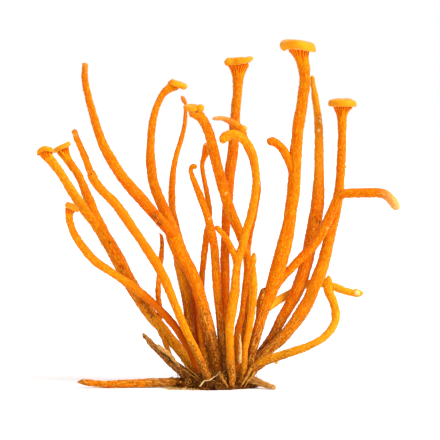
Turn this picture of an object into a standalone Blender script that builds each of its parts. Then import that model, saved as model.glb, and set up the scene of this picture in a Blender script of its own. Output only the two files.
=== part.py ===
"""Cordyceps bunch: a tuft of orange fruit bodies (stromata) on a flat-cut base of matted mycelium.

Standalone Blender script, metres, +Z up.  The bunch stands on the flat cut of its base at z = 0,
with the origin under the middle of its bounding box and its front towards -Y.

Every stroma is a tube along a route.  A route's rows are (across, up, depth, thickness) in
millimetres, from the foot to the tip.  Across and up are where the point is seen from the front,
on the bunch's middle plane; `sighted` moves the point along its line of sight to its own depth.
"""
import math

import bmesh
import bpy
from mathutils import Vector, noise

MM = 0.001

EYE_DISTANCE = 600.0            # from the eye that looks at the bunch to its aim, mm
EYE_RISE = math.radians(2.5)    # how far that eye looks down
AIM_HEIGHT = 47.8               # height over the ground of the aim, on the middle plane, mm
SEEN_MIDDLE = (0.29, 48.43)     # across and up of the aim, as it is seen, mm
BUNCH_MIDDLE = (-0.18, -2.96)   # middle of the bounding box before it is moved to the origin, mm

DEPTH_OPENING = 0.8             # share by which the fan's depths open out towards its top
OPENING_FOOT = 15.0             # height where the depths start to open out, mm
OPENING_TOP = 80.0              # height where they are opened out in full, mm

RING_SPACING = 6.5              # most between the rings of a tube, mm
RING_TURN = math.radians(13)    # most that a tube turns between two rings
ROUNDNESS = 1.03                # an eight-sided tube's corners over its mean thickness
TIP_ROUNDING = 0.42             # length of a rounded tip, as a share of its thickness
TIP_NARROWING = 0.5             # thickness of the very end, as a share of the tip's
GAP = 0.3                       # clear space between pieces that meet, mm

MOUND_CENTRE = (-1.3, 0.0)      # middle of the base on the ground, mm
MOUND_RADII = (11.6, 8.2, 4.9)  # half width, half depth and height of the base, mm
MOUND_FULLNESS = 2.7            # 2 is an ellipsoid, more is squarer at the edge
MOUND_LUMP_PITCH = 2.6          # how closely the lumps follow each other
MOUND_LUMP_START = Vector((3.1, 0.0, 1.7))
MOUND_LUMP = 0.16               # share by which lumps swell or sink the base
MOUND_SEGMENTS = 26
MOUND_RINGS = 14

CAP_STEPS = 14                  # turning steps of a cap
CAP_PROFILE = [                 # from the dished top over the rim to the throat, as shares of
    (0.0, 0.28), (0.5, 0.42),   # half the cap's width and of its thickness
    (0.82, 0.42), (1.0, 0.0),
    (0.90, -0.40), (0.62, -0.48),
]

FINISHES = {                    # colour and roughness of each skin
    "orange_skin": ((0.85, 0.24, 0.012), 0.55),
    "bright_skin": ((0.95, 0.36, 0.015), 0.5),
    "red_skin": ((0.72, 0.15, 0.010), 0.58),
    "dark_skin": ((0.32, 0.055, 0.008), 0.65),
    "brown_skin": ((0.16, 0.055, 0.015), 0.75),
    "matted_base": ((0.07, 0.026, 0.010), 0.92),
}


def opened(depth, up):
    """A depth, opened out as the fan does towards its top."""
    share = min(1.0, max(0.0, (up - OPENING_FOOT) / (OPENING_TOP - OPENING_FOOT)))
    return depth * (1.0 + DEPTH_OPENING * share * share * (3.0 - 2.0 * share))


def sight_share(up, depth):
    """How far along its line of sight a point lies, where 1 is as far as the aim."""
    level = EYE_DISTANCE * math.cos(EYE_RISE)
    rise = (up - SEEN_MIDDLE[1]) * math.sin(EYE_RISE)
    return (level + opened(depth, up)) / (level + rise)


def sighted(across, up, depth):
    """The real place, in mm, of a point seen at (across, up) that lies at the given depth."""
    share = sight_share(up, depth)
    drop = (up - SEEN_MIDDLE[1]) * math.cos(EYE_RISE) - EYE_DISTANCE * math.sin(EYE_RISE)
    return Vector((SEEN_MIDDLE[0] + (across - SEEN_MIDDLE[0]) * share,
                   opened(depth, up),
                   AIM_HEIGHT + EYE_DISTANCE * math.sin(EYE_RISE) + drop * share))


def moved_to_origin(point):
    """A point in mm as metres from the part's origin."""
    return Vector((point.x - BUNCH_MIDDLE[0], point.y - BUNCH_MIDDLE[1], point.z)) * MM


def through(a, b, c, d, t):
    """A value on the smooth curve that runs from b to c, with a before and d after."""
    return 0.5 * (2 * b + (c - a) * t + (2 * a - 5 * b + 4 * c - d) * t ** 2
                  + (3 * b - a - 3 * c + d) * t ** 3)


def smooth_line(rows, steps=8):
    """Points (place, thickness) in mm on the smooth curve through a list of (place, thickness)."""
    padded = [rows[0]] + list(rows) + [rows[-1]]
    line = []
    for a, b, c, d in zip(padded, padded[1:], padded[2:], padded[3:]):
        for step in range(steps):
            t = step / steps
            line.append((through(a[0], b[0], c[0], d[0], t), through(a[1], b[1], c[1], d[1], t)))
    line.append(rows[-1])
    return line


def at_length(line, lengths, wanted):
    """The (place, thickness) at a length along the line."""
    for i in range(1, len(line)):
        if lengths[i] >= wanted:
            share = (wanted - lengths[i - 1]) / max(1e-9, lengths[i] - lengths[i - 1])
            return (line[i - 1][0].lerp(line[i][0], share),
                    line[i - 1][1] + (line[i][1] - line[i - 1][1]) * share)
    return line[-1]


def rings_of(rows, rounded=True):
    """Rings (place, thickness) in mm along a list of (place, thickness), closer in the bends."""
    line = smooth_line(rows)
    tip = TIP_ROUNDING * line[-1][1] if rounded else 0.0
    lengths = [0.0]
    bends = [0.0]
    for i in range(1, len(line)):
        step = line[i][0] - line[i - 1][0]
        turn = step.angle(line[i + 1][0] - line[i][0]) if i + 1 < len(line) else 0.0
        lengths.append(lengths[-1] + step.length)
        bends.append(bends[-1] + turn)
    body = lengths[-1] - tip
    rings = [line[0]]
    at = 0
    for i in range(1, len(line)):
        far = lengths[i] - lengths[at] >= RING_SPACING
        if lengths[i] < body - 0.5 * tip and (far or bends[i] - bends[at] >= RING_TURN):
            rings.append(line[i])
            at = i
    rings.append(at_length(line, lengths, body))
    if rounded:
        place, thickness = line[-1]
        rings.append((place, thickness * TIP_NARROWING))
    return rings


def seen_rows(route):
    """A route's rows as (place, thickness) in mm."""
    return [(sighted(across, up, depth), thickness * sight_share(up, depth))
            for across, up, depth, thickness in route]


def ground_rows(route):
    """Rows (across, depth, lift, thickness) of something lying on the ground, as places in mm."""
    return [(Vector((across, depth, lift + thickness / 2)), thickness)
            for across, depth, lift, thickness in route]


def material(name):
    """The Principled material of a finish, made the first time that it is asked for."""
    if name in bpy.data.materials:
        return bpy.data.materials[name]
    colour, roughness = FINISHES[name]
    made = bpy.data.materials.new(name)
    made.use_nodes = True
    shader = made.node_tree.nodes["Principled BSDF"]
    shader.inputs["Base Color"].default_value = (*colour, 1.0)
    shader.inputs["Roughness"].default_value = roughness
    shader.inputs["Metallic"].default_value = 0.0
    made.diffuse_color = (*colour, 1.0)
    return made


def evaluated_mesh(thing):
    """A new mesh of the object as its modifiers or its bevel make it."""
    bpy.context.view_layer.update()
    evaluated = thing.evaluated_get(bpy.context.evaluated_depsgraph_get())
    return bpy.data.meshes.new_from_object(evaluated)


def welded(mesh):
    """Joins the loose caps of a tube to its wall and turns every face outwards."""
    shape = bmesh.new()
    shape.from_mesh(mesh)
    bmesh.ops.remove_doubles(shape, verts=shape.verts, dist=0.002 * MM)
    bmesh.ops.recalc_face_normals(shape, faces=shape.faces)
    shape.to_mesh(mesh)
    shape.free()


def tube(name, rings, home, grow=0.0):
    """A mesh object: the closed tube through the rings, each side moved out by grow mm."""
    curve = bpy.data.curves.new(name + "_line", "CURVE")
    curve.dimensions = "3D"
    curve.bevel_depth = MM / 2
    curve.bevel_resolution = 2
    curve.use_fill_caps = True
    spline = curve.splines.new("POLY")
    spline.points.add(len(rings) - 1)
    for point, (place, thickness) in zip(spline.points, rings):
        point.co = (*moved_to_origin(place), 1.0)
        point.radius = thickness * ROUNDNESS + 2 * grow
    line = bpy.data.objects.new(name + "_line", curve)
    home.objects.link(line)
    made = bpy.data.objects.new(name, evaluated_mesh(line))
    made.matrix_world = line.matrix_world
    bpy.data.objects.remove(line)
    welded(made.data)
    home.objects.link(made)
    return made


def changed(thing, kind, **settings):
    """Makes one modifier permanent in the object's mesh."""
    modifier = thing.modifiers.new(kind.lower(), kind)
    for key, value in settings.items():
        setattr(modifier, key, value)
    mesh = evaluated_mesh(thing)
    thing.modifiers.remove(modifier)
    thing.data = mesh


def cap(spec, stem):
    """A dished cap over a short throat, turned about its axis, placed and leaned by its spec."""
    half_width, thick = spec["half_width"], spec["thick"]
    profile = [(half_width * out, thick * up) for out, up in CAP_PROFILE]
    profile += [(stem / 2, -0.95 * thick), (0.0, -1.05 * thick)]
    mesh = bpy.data.meshes.new("cap")
    edges = [(i, i + 1) for i in range(len(profile) - 1)]
    mesh.from_pydata([(out * MM, 0.0, up * MM) for out, up in profile], edges, [])
    turned = bpy.data.objects.new("cap", mesh)
    parts.objects.link(turned)
    changed(turned, "SCREW", steps=CAP_STEPS, render_steps=CAP_STEPS, use_merge_vertices=True,
            merge_threshold=0.01 * MM)
    welded(turned.data)
    axis = Vector((*spec["lean"], 1.0)).normalized()
    turned.data.transform(Vector((0.0, 0.0, 1.0)).rotation_difference(axis).to_matrix().to_4x4())
    turned.location = moved_to_origin(sighted(*spec["middle"]))
    return turned


def knob(across, up, depth, radius):
    """A small rounded swelling."""
    mesh = bpy.data.meshes.new("knob")
    shape = bmesh.new()
    bmesh.ops.create_icosphere(shape, subdivisions=2, radius=radius * MM)
    shape.to_mesh(mesh)
    shape.free()
    made = bpy.data.objects.new("knob", mesh)
    made.location = moved_to_origin(sighted(across, up, depth))
    parts.objects.link(made)
    return made


def mound(name, home, grow=0.0):
    """The base: a lumpy mound cut off flat at the ground, each side moved out by grow mm."""
    mesh = bpy.data.meshes.new(name)
    shape = bmesh.new()
    bmesh.ops.create_uvsphere(shape, u_segments=MOUND_SEGMENTS, v_segments=MOUND_RINGS, radius=1.0)
    power = MOUND_FULLNESS
    for vert in shape.verts:
        way = vert.co.copy()
        full = (math.hypot(way.x, way.y) ** power + abs(way.z) ** power) ** (-1 / power)
        lumps = 1.0 + MOUND_LUMP * noise.noise(way * MOUND_LUMP_PITCH + MOUND_LUMP_START)
        place = Vector([way[i] * full * (MOUND_RADII[i] * lumps + grow) for i in range(3)])
        vert.co = moved_to_origin(place + Vector((*MOUND_CENTRE, 0.0)))
    under = [vert for vert in shape.verts if vert.co.z < -0.01 * MM]
    bmesh.ops.delete(shape, geom=under, context="VERTS")
    bmesh.ops.edgeloop_fill(shape, edges=[edge for edge in shape.edges if edge.is_boundary])
    bmesh.ops.recalc_face_normals(shape, faces=shape.faces)
    shape.to_mesh(mesh)
    shape.free()
    made = bpy.data.objects.new(name, mesh)
    home.objects.link(made)
    return made


def as_cutter(thing):
    thing.hide_render = True
    thing.display_type = "WIRE"
    return thing


def finished(piece, finish):
    """The finished solid in its material, shaded smooth."""
    piece.data.materials.clear()
    piece.data.materials.append(material(finish))
    piece.data.shade_smooth()
    piece.data.set_sharp_from_angle(angle=math.radians(50))


# What grows upwards, from the left of the bunch to the right.  A branch names what it forks
# from; every other stroma grows from the base.
STROMATA = {
    "outer_left_trunk": {
        "finish": "orange_skin",
        "route": [(-5.4, 2.0, 1.2, 2.2), (-8.0, 5.5, 1.3, 2.7), (-9.8, 8.5, 1.4, 3.0),
                  (-12.0, 11.2, 1.5, 3.0), (-14.2, 14.0, 1.5, 3.0), (-16.3, 17.0, 1.5, 3.1),
                  (-18.2, 19.6, 1.5, 3.3), (-20.2, 22.2, 1.5, 3.5), (-22.0, 25.0, 1.5, 3.6),
                  (-24.2, 28.5, 1.6, 3.8), (-26.4, 32.5, 1.8, 3.8), (-28.3, 36.2, 2.0, 3.8),
                  (-30.5, 40.3, 2.3, 3.7), (-32.6, 43.6, 2.6, 3.7), (-34.5, 47.3, 2.9, 3.6),
                  (-35.7, 50.0, 3.2, 3.2), (-36.6, 53.0, 3.5, 2.7), (-37.9, 56.0, 3.8, 2.4),
                  (-39.3, 59.5, 4.2, 2.2), (-40.6, 62.0, 4.5, 2.2), (-42.2, 64.2, 4.8, 2.3),
                  (-43.6, 66.3, 5.0, 2.4), (-44.4, 67.8, 5.2, 3.0)],
        "cap": {"middle": (-44.9, 69.3, 5.4), "half_width": 2.7, "thick": 1.5,
                "lean": (-0.42, -0.05)},
    },
    "outer_left_branch": {
        "finish": "bright_skin", "forks_from": ["outer_left_trunk"],
        "route": [(-34.3, 45.4, 2.7, 2.4), (-36.0, 48.0, 1.7, 2.5), (-37.6, 50.1, 1.0, 2.6),
                  (-39.1, 52.3, 0.4, 2.6), (-40.8, 54.7, -0.2, 2.6), (-42.6, 57.5, -0.9, 2.6),
                  (-44.3, 60.2, -1.6, 2.5), (-46.1, 62.8, -2.2, 2.4), (-47.8, 65.1, -2.7, 2.5),
                  (-49.0, 66.6, -3.0, 2.9), (-49.5, 67.4, -3.1, 3.3)],
        "cap": {"middle": (-49.7, 68.5, -3.2), "half_width": 2.45, "thick": 1.6,
                "lean": (-0.05, -0.15)},
    },
    "thin_spotted_branch": {
        "finish": "red_skin", "forks_from": ["outer_left_trunk"],
        "route": [(-16.8, 20.3, 1.6, 1.4), (-17.0, 23.5, 1.0, 1.5), (-17.3, 26.0, 0.8, 1.4),
                  (-17.35, 28.5, 0.6, 1.6), (-17.3, 31.0, 0.5, 1.2), (-17.0, 34.0, 0.4, 1.2),
                  (-16.6, 37.5, 0.3, 1.35), (-16.35, 40.0, 0.2, 1.2), (-16.25, 42.0, 0.1, 1.1),
                  (-16.5, 43.8, 0.0, 0.9), (-17.1, 44.8, 0.0, 0.5)],
    },
    "low_left_capped_stroma": {
        "finish": "bright_skin",
        "route": [(-4.6, 2.0, -2.4, 1.3), (-6.6, 6.0, -2.6, 1.3), (-7.4, 9.0, -2.5, 1.4),
                  (-8.6, 11.6, -2.4, 1.5), (-10.0, 14.0, -2.4, 1.8), (-12.0, 17.3, -2.4, 2.1),
                  (-14.0, 19.7, -2.4, 2.2), (-16.2, 22.1, -2.4, 2.1), (-18.4, 24.3, -2.4, 2.0),
                  (-21.0, 26.5, -2.5, 2.2), (-24.0, 28.9, -2.6, 2.4), (-27.0, 31.1, -2.8, 2.3),
                  (-30.3, 33.3, -3.0, 2.05), (-32.3, 34.5, -3.2, 2.1), (-34.6, 36.0, -3.4, 2.2),
                  (-36.8, 38.0, -3.6, 2.25), (-38.4, 40.0, -3.8, 2.1), (-39.9, 42.0, -4.0, 2.1),
                  (-41.2, 44.1, -4.2, 2.0), (-42.1, 46.1, -4.4, 1.95), (-42.7, 48.1, -4.6, 2.0),
                  (-42.85, 50.0, -4.7, 2.1), (-42.6, 51.2, -4.8, 2.7)],
        "cap": {"middle": (-42.0, 52.3, -4.9), "half_width": 2.05, "thick": 1.4,
                "lean": (0.42, -0.1)},
    },
    "bright_left_stroma": {
        "finish": "bright_skin",
        "route": [(-2.4, 1.5, -5.4, 1.4), (-3.6, 4.0, -5.9, 1.6), (-4.6, 6.5, -5.6, 1.8),
                  (-5.7, 9.2, -5.2, 1.9), (-6.8, 11.5, -4.9, 2.0), (-8.1, 14.2, -4.6, 2.0),
                  (-9.5, 17.0, -4.4, 2.1), (-10.9, 20.0, -4.3, 2.2), (-12.1, 23.0, -4.2, 2.3),
                  (-13.4, 26.3, -4.2, 2.3), (-14.8, 30.0, -4.4, 2.5), (-16.5, 33.5, -4.6, 2.6),
                  (-18.2, 36.5, -4.9, 2.7), (-20.3, 39.7, -5.3, 2.7), (-22.5, 43.0, -5.8, 2.6),
                  (-24.9, 46.4, -6.4, 2.6), (-27.6, 50.3, -7.0, 2.6), (-30.1, 53.4, -7.5, 2.5),
                  (-33.1, 56.5, -8.2, 2.5), (-35.4, 59.3, -8.8, 2.4), (-36.7, 61.8, -9.2, 2.1),
                  (-38.0, 65.2, -9.6, 1.9), (-39.5, 69.0, -10.0, 1.7), (-40.8, 72.0, -10.4, 1.6),
                  (-41.5, 74.2, -10.6, 1.3)],
    },
    "left_arched_stroma": {
        "finish": "orange_skin",
        "route": [(0.6, 2.0, -2.2, 2.3), (0.1, 4.0, -2.2, 2.4), (-0.7, 8.0, -2.0, 2.7),
                  (-1.7, 12.0, -1.9, 3.1), (-2.6, 16.0, -1.8, 3.3), (-3.5, 20.0, -1.6, 3.4),
                  (-4.3, 23.0, -1.5, 3.3), (-5.2, 26.0, -1.4, 3.2), (-6.4, 30.0, -1.2, 3.4),
                  (-8.3, 34.0, -1.0, 3.6), (-10.1, 37.0, -1.0, 3.9), (-11.6, 40.0, -1.0, 4.3),
                  (-13.0, 44.0, -1.0, 4.1), (-14.4, 48.0, -0.8, 3.5), (-16.1, 52.0, -0.5, 3.1),
                  (-17.7, 56.0, 0.0, 3.0), (-18.9, 60.0, 0.5, 2.75), (-19.7, 66.0, 1.2, 2.5),
                  (-19.6, 70.0, 1.8, 2.25), (-19.0, 76.0, 2.8, 2.1), (-18.1, 80.0, 3.5, 1.85),
                  (-17.3, 82.0, 3.9, 1.75), (-16.2, 84.0, 4.3, 1.7), (-15.0, 85.5, 4.6, 2.1),
                  (-13.5, 86.5, 4.9, 2.6), (-12.3, 86.9, 5.1, 3.2)],
        "cap": {"middle": (-11.7, 87.5, 5.2), "half_width": 2.9, "thick": 1.3,
                "lean": (0.48, -0.1)},
    },
    "left_tall_stroma": {
        "finish": "orange_skin", "forks_from": ["left_arched_stroma"],
        "route": [(-12.4, 43.4, -1.0, 2.8), (-13.9, 45.2, -2.2, 3.0), (-15.8, 47.2, -3.1, 3.1),
                  (-18.6, 50.2, -4.1, 3.1),
                  (-22.0, 54.1, -5.5, 3.1), (-27.0, 59.9, -7.5, 2.95),
                  (-31.0, 66.0, -9.5, 2.8), (-33.9, 72.0, -11.0, 2.6), (-36.3, 80.0, -12.5, 2.25),
                  (-37.4, 84.0, -13.2, 2.2), (-38.3, 90.0, -14.0, 2.25), (-38.3, 93.3, -14.3, 1.9)],
    },
    "left_dark_strand": {
        "finish": "dark_skin", "forks_from": ["left_arched_stroma"],
        "route": [(-4.6, 2.0, -0.1, 1.9), (-5.8, 8.0, 0.0, 1.9), (-7.2, 12.0, 0.5, 2.1),
                  (-8.2, 16.0, 1.0, 2.3), (-8.6, 20.0, 1.3, 2.5), (-8.9, 24.0, 1.6, 2.7),
                  (-9.5, 28.0, 1.8, 2.9), (-10.4, 32.0, 1.8, 2.9), (-11.4, 35.8, 1.4, 2.7),
                  (-12.0, 39.0, 0.2, 2.2)],
    },
    "thin_back_stroma": {
        "finish": "orange_skin",
        "route": [(-4.0, 2.0, 4.0, 1.2), (-5.6, 8.0, 4.2, 1.2), (-6.2, 14.0, 4.2, 1.3),
                  (-6.5, 18.0, 4.2, 1.4), (-6.9, 22.0, 4.2, 1.5), (-7.7, 27.0, 4.2, 1.5),
                  (-9.2, 35.0, 4.4, 1.6), (-11.0, 42.0, 4.6, 1.7), (-12.6, 48.0, 4.8, 1.8),
                  (-13.3, 52.0, 5.0, 1.8), (-13.3, 58.0, 5.4, 1.8), (-12.8, 64.0, 6.0, 1.6),
                  (-11.7, 68.5, 6.5, 1.3), (-10.7, 72.0, 7.0, 1.2), (-9.8, 76.0, 7.5, 1.05),
                  (-9.5, 79.0, 8.0, 1.05), (-10.0, 82.0, 8.4, 0.95), (-10.7, 83.8, 8.6, 0.8)],
    },
    "small_capped_strand": {
        "finish": "red_skin",
        "route": [(-2.4, 2.0, -1.4, 1.2), (-3.2, 6.0, -1.5, 1.3), (-4.2, 10.0, -1.2, 1.5),
                  (-4.9, 14.0, -0.6, 1.5), (-5.3, 18.0, 0.5, 1.5), (-5.4, 22.0, 1.8, 1.6),
                  (-5.1, 27.0, 2.4, 1.6), (-4.9, 32.0, 2.4, 1.5), (-4.6, 36.0, 2.2, 1.6),
                  (-4.15, 40.0, 1.9, 1.7), (-3.75, 43.5, 1.7, 1.7), (-3.2, 47.0, 1.6, 1.6),
                  (-2.85, 50.0, 1.5, 1.5), (-2.9, 53.0, 1.5, 1.5), (-3.4, 56.0, 1.6, 1.35),
                  (-3.95, 58.5, 1.7, 1.2), (-4.5, 61.0, 1.8, 1.15), (-4.85, 63.5, 1.9, 1.05),
                  (-4.7, 65.2, 1.9, 1.1), (-4.1, 66.7, 1.8, 1.5), (-3.6, 68.2, 1.6, 2.0),
                  (-3.1, 70.2, 1.4, 1.6)],
    },
    "small_hooked_stroma": {
        "finish": "orange_skin",
        "route": [(1.2, 2.0, 0.5, 1.4), (1.1, 6.0, 0.5, 1.5), (0.8, 10.0, 0.4, 1.6),
                  (0.5, 14.0, 0.2, 1.7), (0.2, 18.0, 0.0, 1.9), (0.0, 22.0, -0.2, 2.0),
                  (-0.3, 26.0, -0.4, 2.2), (-0.5, 30.0, -0.6, 2.3), (-0.8, 34.0, -0.8, 2.3),
                  (-1.1, 38.0, -1.0, 2.3), (-1.4, 41.0, -1.2, 2.3), (-2.0, 44.0, -1.4, 2.3),
                  (-2.7, 47.0, -1.6, 2.2), (-3.4, 49.5, -1.8, 2.0), (-4.2, 52.0, -2.1, 1.9),
                  (-5.2, 54.8, -2.5, 1.9), (-6.1, 57.0, -2.9, 1.8), (-7.0, 59.2, -3.4, 1.6),
                  (-7.7, 61.0, -3.7, 1.35), (-8.05, 62.4, -4.0, 1.2), (-7.8, 63.4, -4.2, 1.25),
                  (-7.1, 63.8, -4.3, 1.25), (-6.5, 63.1, -4.4, 1.2)],
    },
    "middle_leaning_stroma": {
        "finish": "orange_skin",
        "route": [(5.0, 2.0, -0.5, 1.5), (5.0, 6.0, -0.5, 1.5), (4.9, 10.0, -0.4, 1.6),
                  (5.0, 14.0, -0.3, 1.6), (5.5, 17.5, 0.0, 1.7), (6.3, 20.5, 0.3, 1.5),
                  (6.8, 24.0, 0.4, 1.3), (7.3, 28.0, 0.5, 1.6), (7.8, 31.0, 0.5, 1.9),
                  (8.1, 34.0, 0.5, 2.0), (8.0, 38.0, 0.4, 2.3), (7.2, 41.0, 0.3, 2.4),
                  (6.0, 44.2, 0.0, 2.5), (4.5, 48.0, -0.5, 2.7), (2.9, 52.0, -1.1, 2.9),
                  (1.6, 56.0, -1.7, 3.0), (0.5, 60.0, -2.4, 3.0), (-0.5, 64.0, -3.2, 3.0),
                  (-1.4, 68.0, -4.0, 3.0), (-2.4, 72.0, -4.8, 2.8), (-3.8, 75.7, -5.6, 2.6),
                  (-5.1, 77.8, -6.1, 2.7), (-6.7, 79.2, -6.3, 2.9)],
        "cap": {"middle": (-7.4, 80.5, -6.5), "half_width": 2.75, "thick": 1.7,
                "lean": (0.04, -0.12)},
        "knobs": [(-5.3, 80.3, -6.6, 1.2)],
    },
    "front_hooked_stroma": {
        "finish": "bright_skin",
        "route": [(3.5, 2.2, -7.4, 1.3), (3.7, 4.2, -6.3, 1.9), (3.35, 8.0, -5.0, 2.3),
                  (3.2, 12.0, -4.2, 2.25), (3.1, 16.0, -3.7, 2.3), (3.4, 20.0, -3.5, 2.5),
                  (3.9, 24.0, -3.4, 2.5), (4.5, 28.0, -3.5, 2.5), (4.7, 31.0, -3.6, 2.4),
                  (5.0, 34.0, -3.8, 2.2), (5.7, 38.0, -4.2, 2.2), (7.0, 42.0, -4.6, 2.2),
                  (8.0, 46.0, -5.0, 2.1), (9.2, 50.0, -5.4, 2.0), (10.0, 54.0, -5.8, 2.0),
                  (10.5, 58.0, -6.3, 2.0), (10.6, 62.0, -6.9, 2.0), (10.0, 66.0, -7.5, 2.1),
                  (9.1, 68.4, -8.0, 2.2), (7.9, 70.4, -8.4, 2.4), (6.3, 71.9, -8.7, 2.6),
                  (4.5, 72.7, -9.1, 2.7), (2.8, 72.6, -9.4, 2.6), (1.5, 71.9, -9.7, 2.5),
                  (0.8, 70.3, -9.9, 2.3)],
    },
    "front_side_branch": {
        "finish": "orange_skin", "forks_from": ["front_hooked_stroma"],
        "route": [(5.1, 35.5, -3.9, 1.8), (4.5, 38.2, -4.4, 1.9), (3.6, 40.3, -4.7, 1.9),
                  (2.5, 42.4, -4.9, 1.8), (1.3, 44.2, -5.1, 1.7), (0.1, 45.5, -5.3, 1.55),
                  (-1.1, 46.7, -5.5, 1.3)],
    },
    "middle_capped_stroma": {
        "finish": "red_skin",
        "route": [(1.5, 2.0, 3.4, 1.6), (1.4, 8.0, 3.4, 1.6), (1.5, 14.0, 3.3, 1.8),
                  (1.6, 20.0, 3.2, 2.0), (1.8, 26.0, 3.1, 2.3), (1.75, 32.0, 3.0, 2.5),
                  (1.7, 38.0, 3.0, 2.5), (1.9, 44.0, 3.1, 2.3), (2.2, 50.0, 3.4, 2.6),
                  (2.7, 56.0, 3.8, 2.9), (3.2, 62.0, 4.4, 3.0), (3.8, 67.0, 5.0, 3.1),
                  (4.2, 72.0, 5.6, 3.0), (4.45, 76.0, 6.0, 2.7), (4.7, 80.0, 6.4, 2.5),
                  (5.1, 84.0, 6.8, 2.4), (5.35, 88.0, 7.2, 2.8), (5.4, 90.5, 7.4, 3.6),
                  (5.45, 92.4, 7.5, 5.2)],
        "cap": {"middle": (5.7, 94.0, 7.6), "half_width": 3.95, "thick": 1.9,
                "lean": (-0.06, -0.05)},
        "knobs": [(2.4, 93.6, 7.0, 1.2)],
    },
    "curl_tipped_stroma": {
        "finish": "orange_skin",
        "route": [(6.6, 2.0, 2.8, 1.4), (6.9, 8.0, 3.1, 1.4), (7.0, 14.0, 3.2, 1.4),
                  (7.3, 19.0, 3.3, 1.5), (7.7, 23.0, 3.4, 1.6), (8.1, 27.0, 3.5, 1.7),
                  (8.3, 31.0, 3.6, 1.8), (8.3, 35.0, 3.6, 1.8), (8.1, 39.0, 3.4, 1.8),
                  (8.4, 43.0, 2.8, 1.9), (9.2, 47.0, 1.5, 2.0), (10.2, 51.0, 0.0, 2.0),
                  (10.8, 55.0, -1.2, 2.0), (10.9, 58.0, -2.0, 2.0), (10.4, 62.0, -3.0, 1.9),
                  (9.4, 66.0, -4.0, 1.9), (8.2, 69.2, -4.8, 2.0), (7.2, 71.8, -5.3, 2.1),
                  (6.6, 73.6, -5.6, 2.2), (5.5, 75.0, -5.8, 2.2), (4.3, 75.9, -5.9, 2.0),
                  (2.7, 76.9, -6.0, 1.6), (0.7, 77.5, -6.2, 1.2), (-1.9, 77.3, -6.4, 0.9)],
        "knobs": [(7.2, 74.6, -5.7, 0.9)],
    },
    "torn_tip_stroma": {
        "finish": "bright_skin",
        "route": [(6.2, 2.0, -4.4, 1.3), (7.0, 5.0, -4.6, 1.4), (7.2, 8.0, -4.4, 1.5),
                  (7.45, 11.5, -4.1, 1.5), (8.1, 14.5, -4.0, 1.7), (8.7, 17.5, -4.0, 1.8),
                  (9.15, 20.5, -4.1, 1.9), (9.45, 23.5, -4.3, 2.0), (9.75, 27.0, -4.5, 2.1),
                  (9.9, 30.0, -4.7, 2.0), (9.8, 33.0, -4.8, 1.8), (9.7, 35.5, -4.9, 1.6),
                  (9.95, 37.4, -5.0, 1.6), (10.15, 39.2, -5.1, 1.3)],
    },
    "tallest_capped_stroma": {
        "finish": "orange_skin",
        "route": [(7.0, 2.0, -0.8, 2.1), (8.0, 5.0, -0.8, 2.3), (8.7, 8.0, -0.9, 2.5),
                  (9.6, 11.5, -1.0, 2.7), (10.6, 15.0, -1.1, 2.9), (11.4, 18.0, -1.2, 3.0),
                  (12.2, 21.0, -1.3, 3.2), (13.2, 24.0, -1.4, 3.4), (14.9, 28.0, -1.6, 3.7),
                  (16.1, 32.0, -1.8, 4.0), (17.3, 36.0, -2.0, 4.1), (18.3, 40.0, -2.2, 4.2),
                  (19.2, 44.0, -2.4, 4.0), (20.0, 48.0, -2.6, 3.6), (20.6, 52.0, -2.8, 3.5),
                  (21.15, 56.0, -3.0, 3.6), (21.5, 60.0, -3.3, 3.6), (21.7, 64.0, -3.6, 3.6),
                  (22.0, 68.0, -3.9, 3.3), (22.35, 72.0, -4.2, 3.1), (22.75, 76.0, -4.5, 3.2),
                  (23.3, 79.5, -4.8, 3.1), (23.8, 83.0, -5.1, 2.9), (24.3, 86.0, -5.3, 3.1),
                  (24.55, 88.5, -5.5, 2.9), (24.4, 91.0, -5.7, 3.1), (24.0, 93.5, -5.9, 3.4),
                  (23.8, 95.3, -6.0, 3.7), (23.5, 96.9, -6.1, 5.0)],
        "cap": {"middle": (22.6, 98.5, -6.2), "half_width": 5.2, "thick": 2.5,
                "lean": (0.11, -0.08)},
        "knobs": [(18.6, 98.0, -6.6, 1.2)],
    },
    "tallest_side_branch": {
        "finish": "orange_skin", "forks_from": ["tallest_capped_stroma"],
        "route": [(21.3, 61.2, -3.4, 2.2), (20.2, 64.8, -3.9, 2.4), (19.1, 67.2, -4.2, 2.4),
                  (17.8, 69.1, -4.5, 2.3), (16.4, 70.4, -4.8, 2.3), (15.1, 70.9, -5.1, 2.3),
                  (13.9, 70.3, -5.3, 2.0)],
    },
    "broken_side_stub": {
        "finish": "brown_skin", "forks_from": ["tallest_capped_stroma"],
        "route": [(12.2, 19.5, -1.5, 1.2), (11.7, 21.5, -2.3, 1.4), (11.7, 23.5, -3.0, 1.6),
                  (12.0, 25.5, -3.5, 1.9), (12.4, 27.3, -3.9, 1.9), (12.7, 28.8, -4.1, 1.5)],
    },
    "right_arm_stroma": {
        "finish": "orange_skin", "forks_from": ["tallest_capped_stroma"],
        "route": [(14.7, 26.9, -1.5, 2.0), (16.0, 28.9, -0.5, 2.0), (17.3, 30.8, 0.2, 2.1), (18.8, 32.6, 0.8, 2.2),
                  (20.3, 34.2, 1.1, 2.3), (22.0, 36.0, 1.2, 2.5), (24.0, 38.0, 1.2, 2.7),
                  (25.8, 39.9, 1.2, 2.8), (27.4, 41.9, 1.1, 2.8), (29.0, 44.3, 0.9, 2.7),
                  (30.4, 46.9, 0.5, 2.6), (31.7, 49.6, 0.1, 2.5), (32.8, 52.2, -0.3, 2.4),
                  (33.8, 54.4, -0.7, 2.4), (35.2, 55.8, -1.1, 2.5), (37.2, 56.1, -1.6, 2.6),
                  (40.0, 56.15, -2.2, 2.6), (43.0, 56.25, -2.8, 2.55), (45.8, 56.3, -3.3, 2.5),
                  (47.6, 55.8, -3.6, 2.4), (49.0, 54.9, -3.9, 2.2), (50.1, 53.8, -4.1, 2.0),
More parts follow.
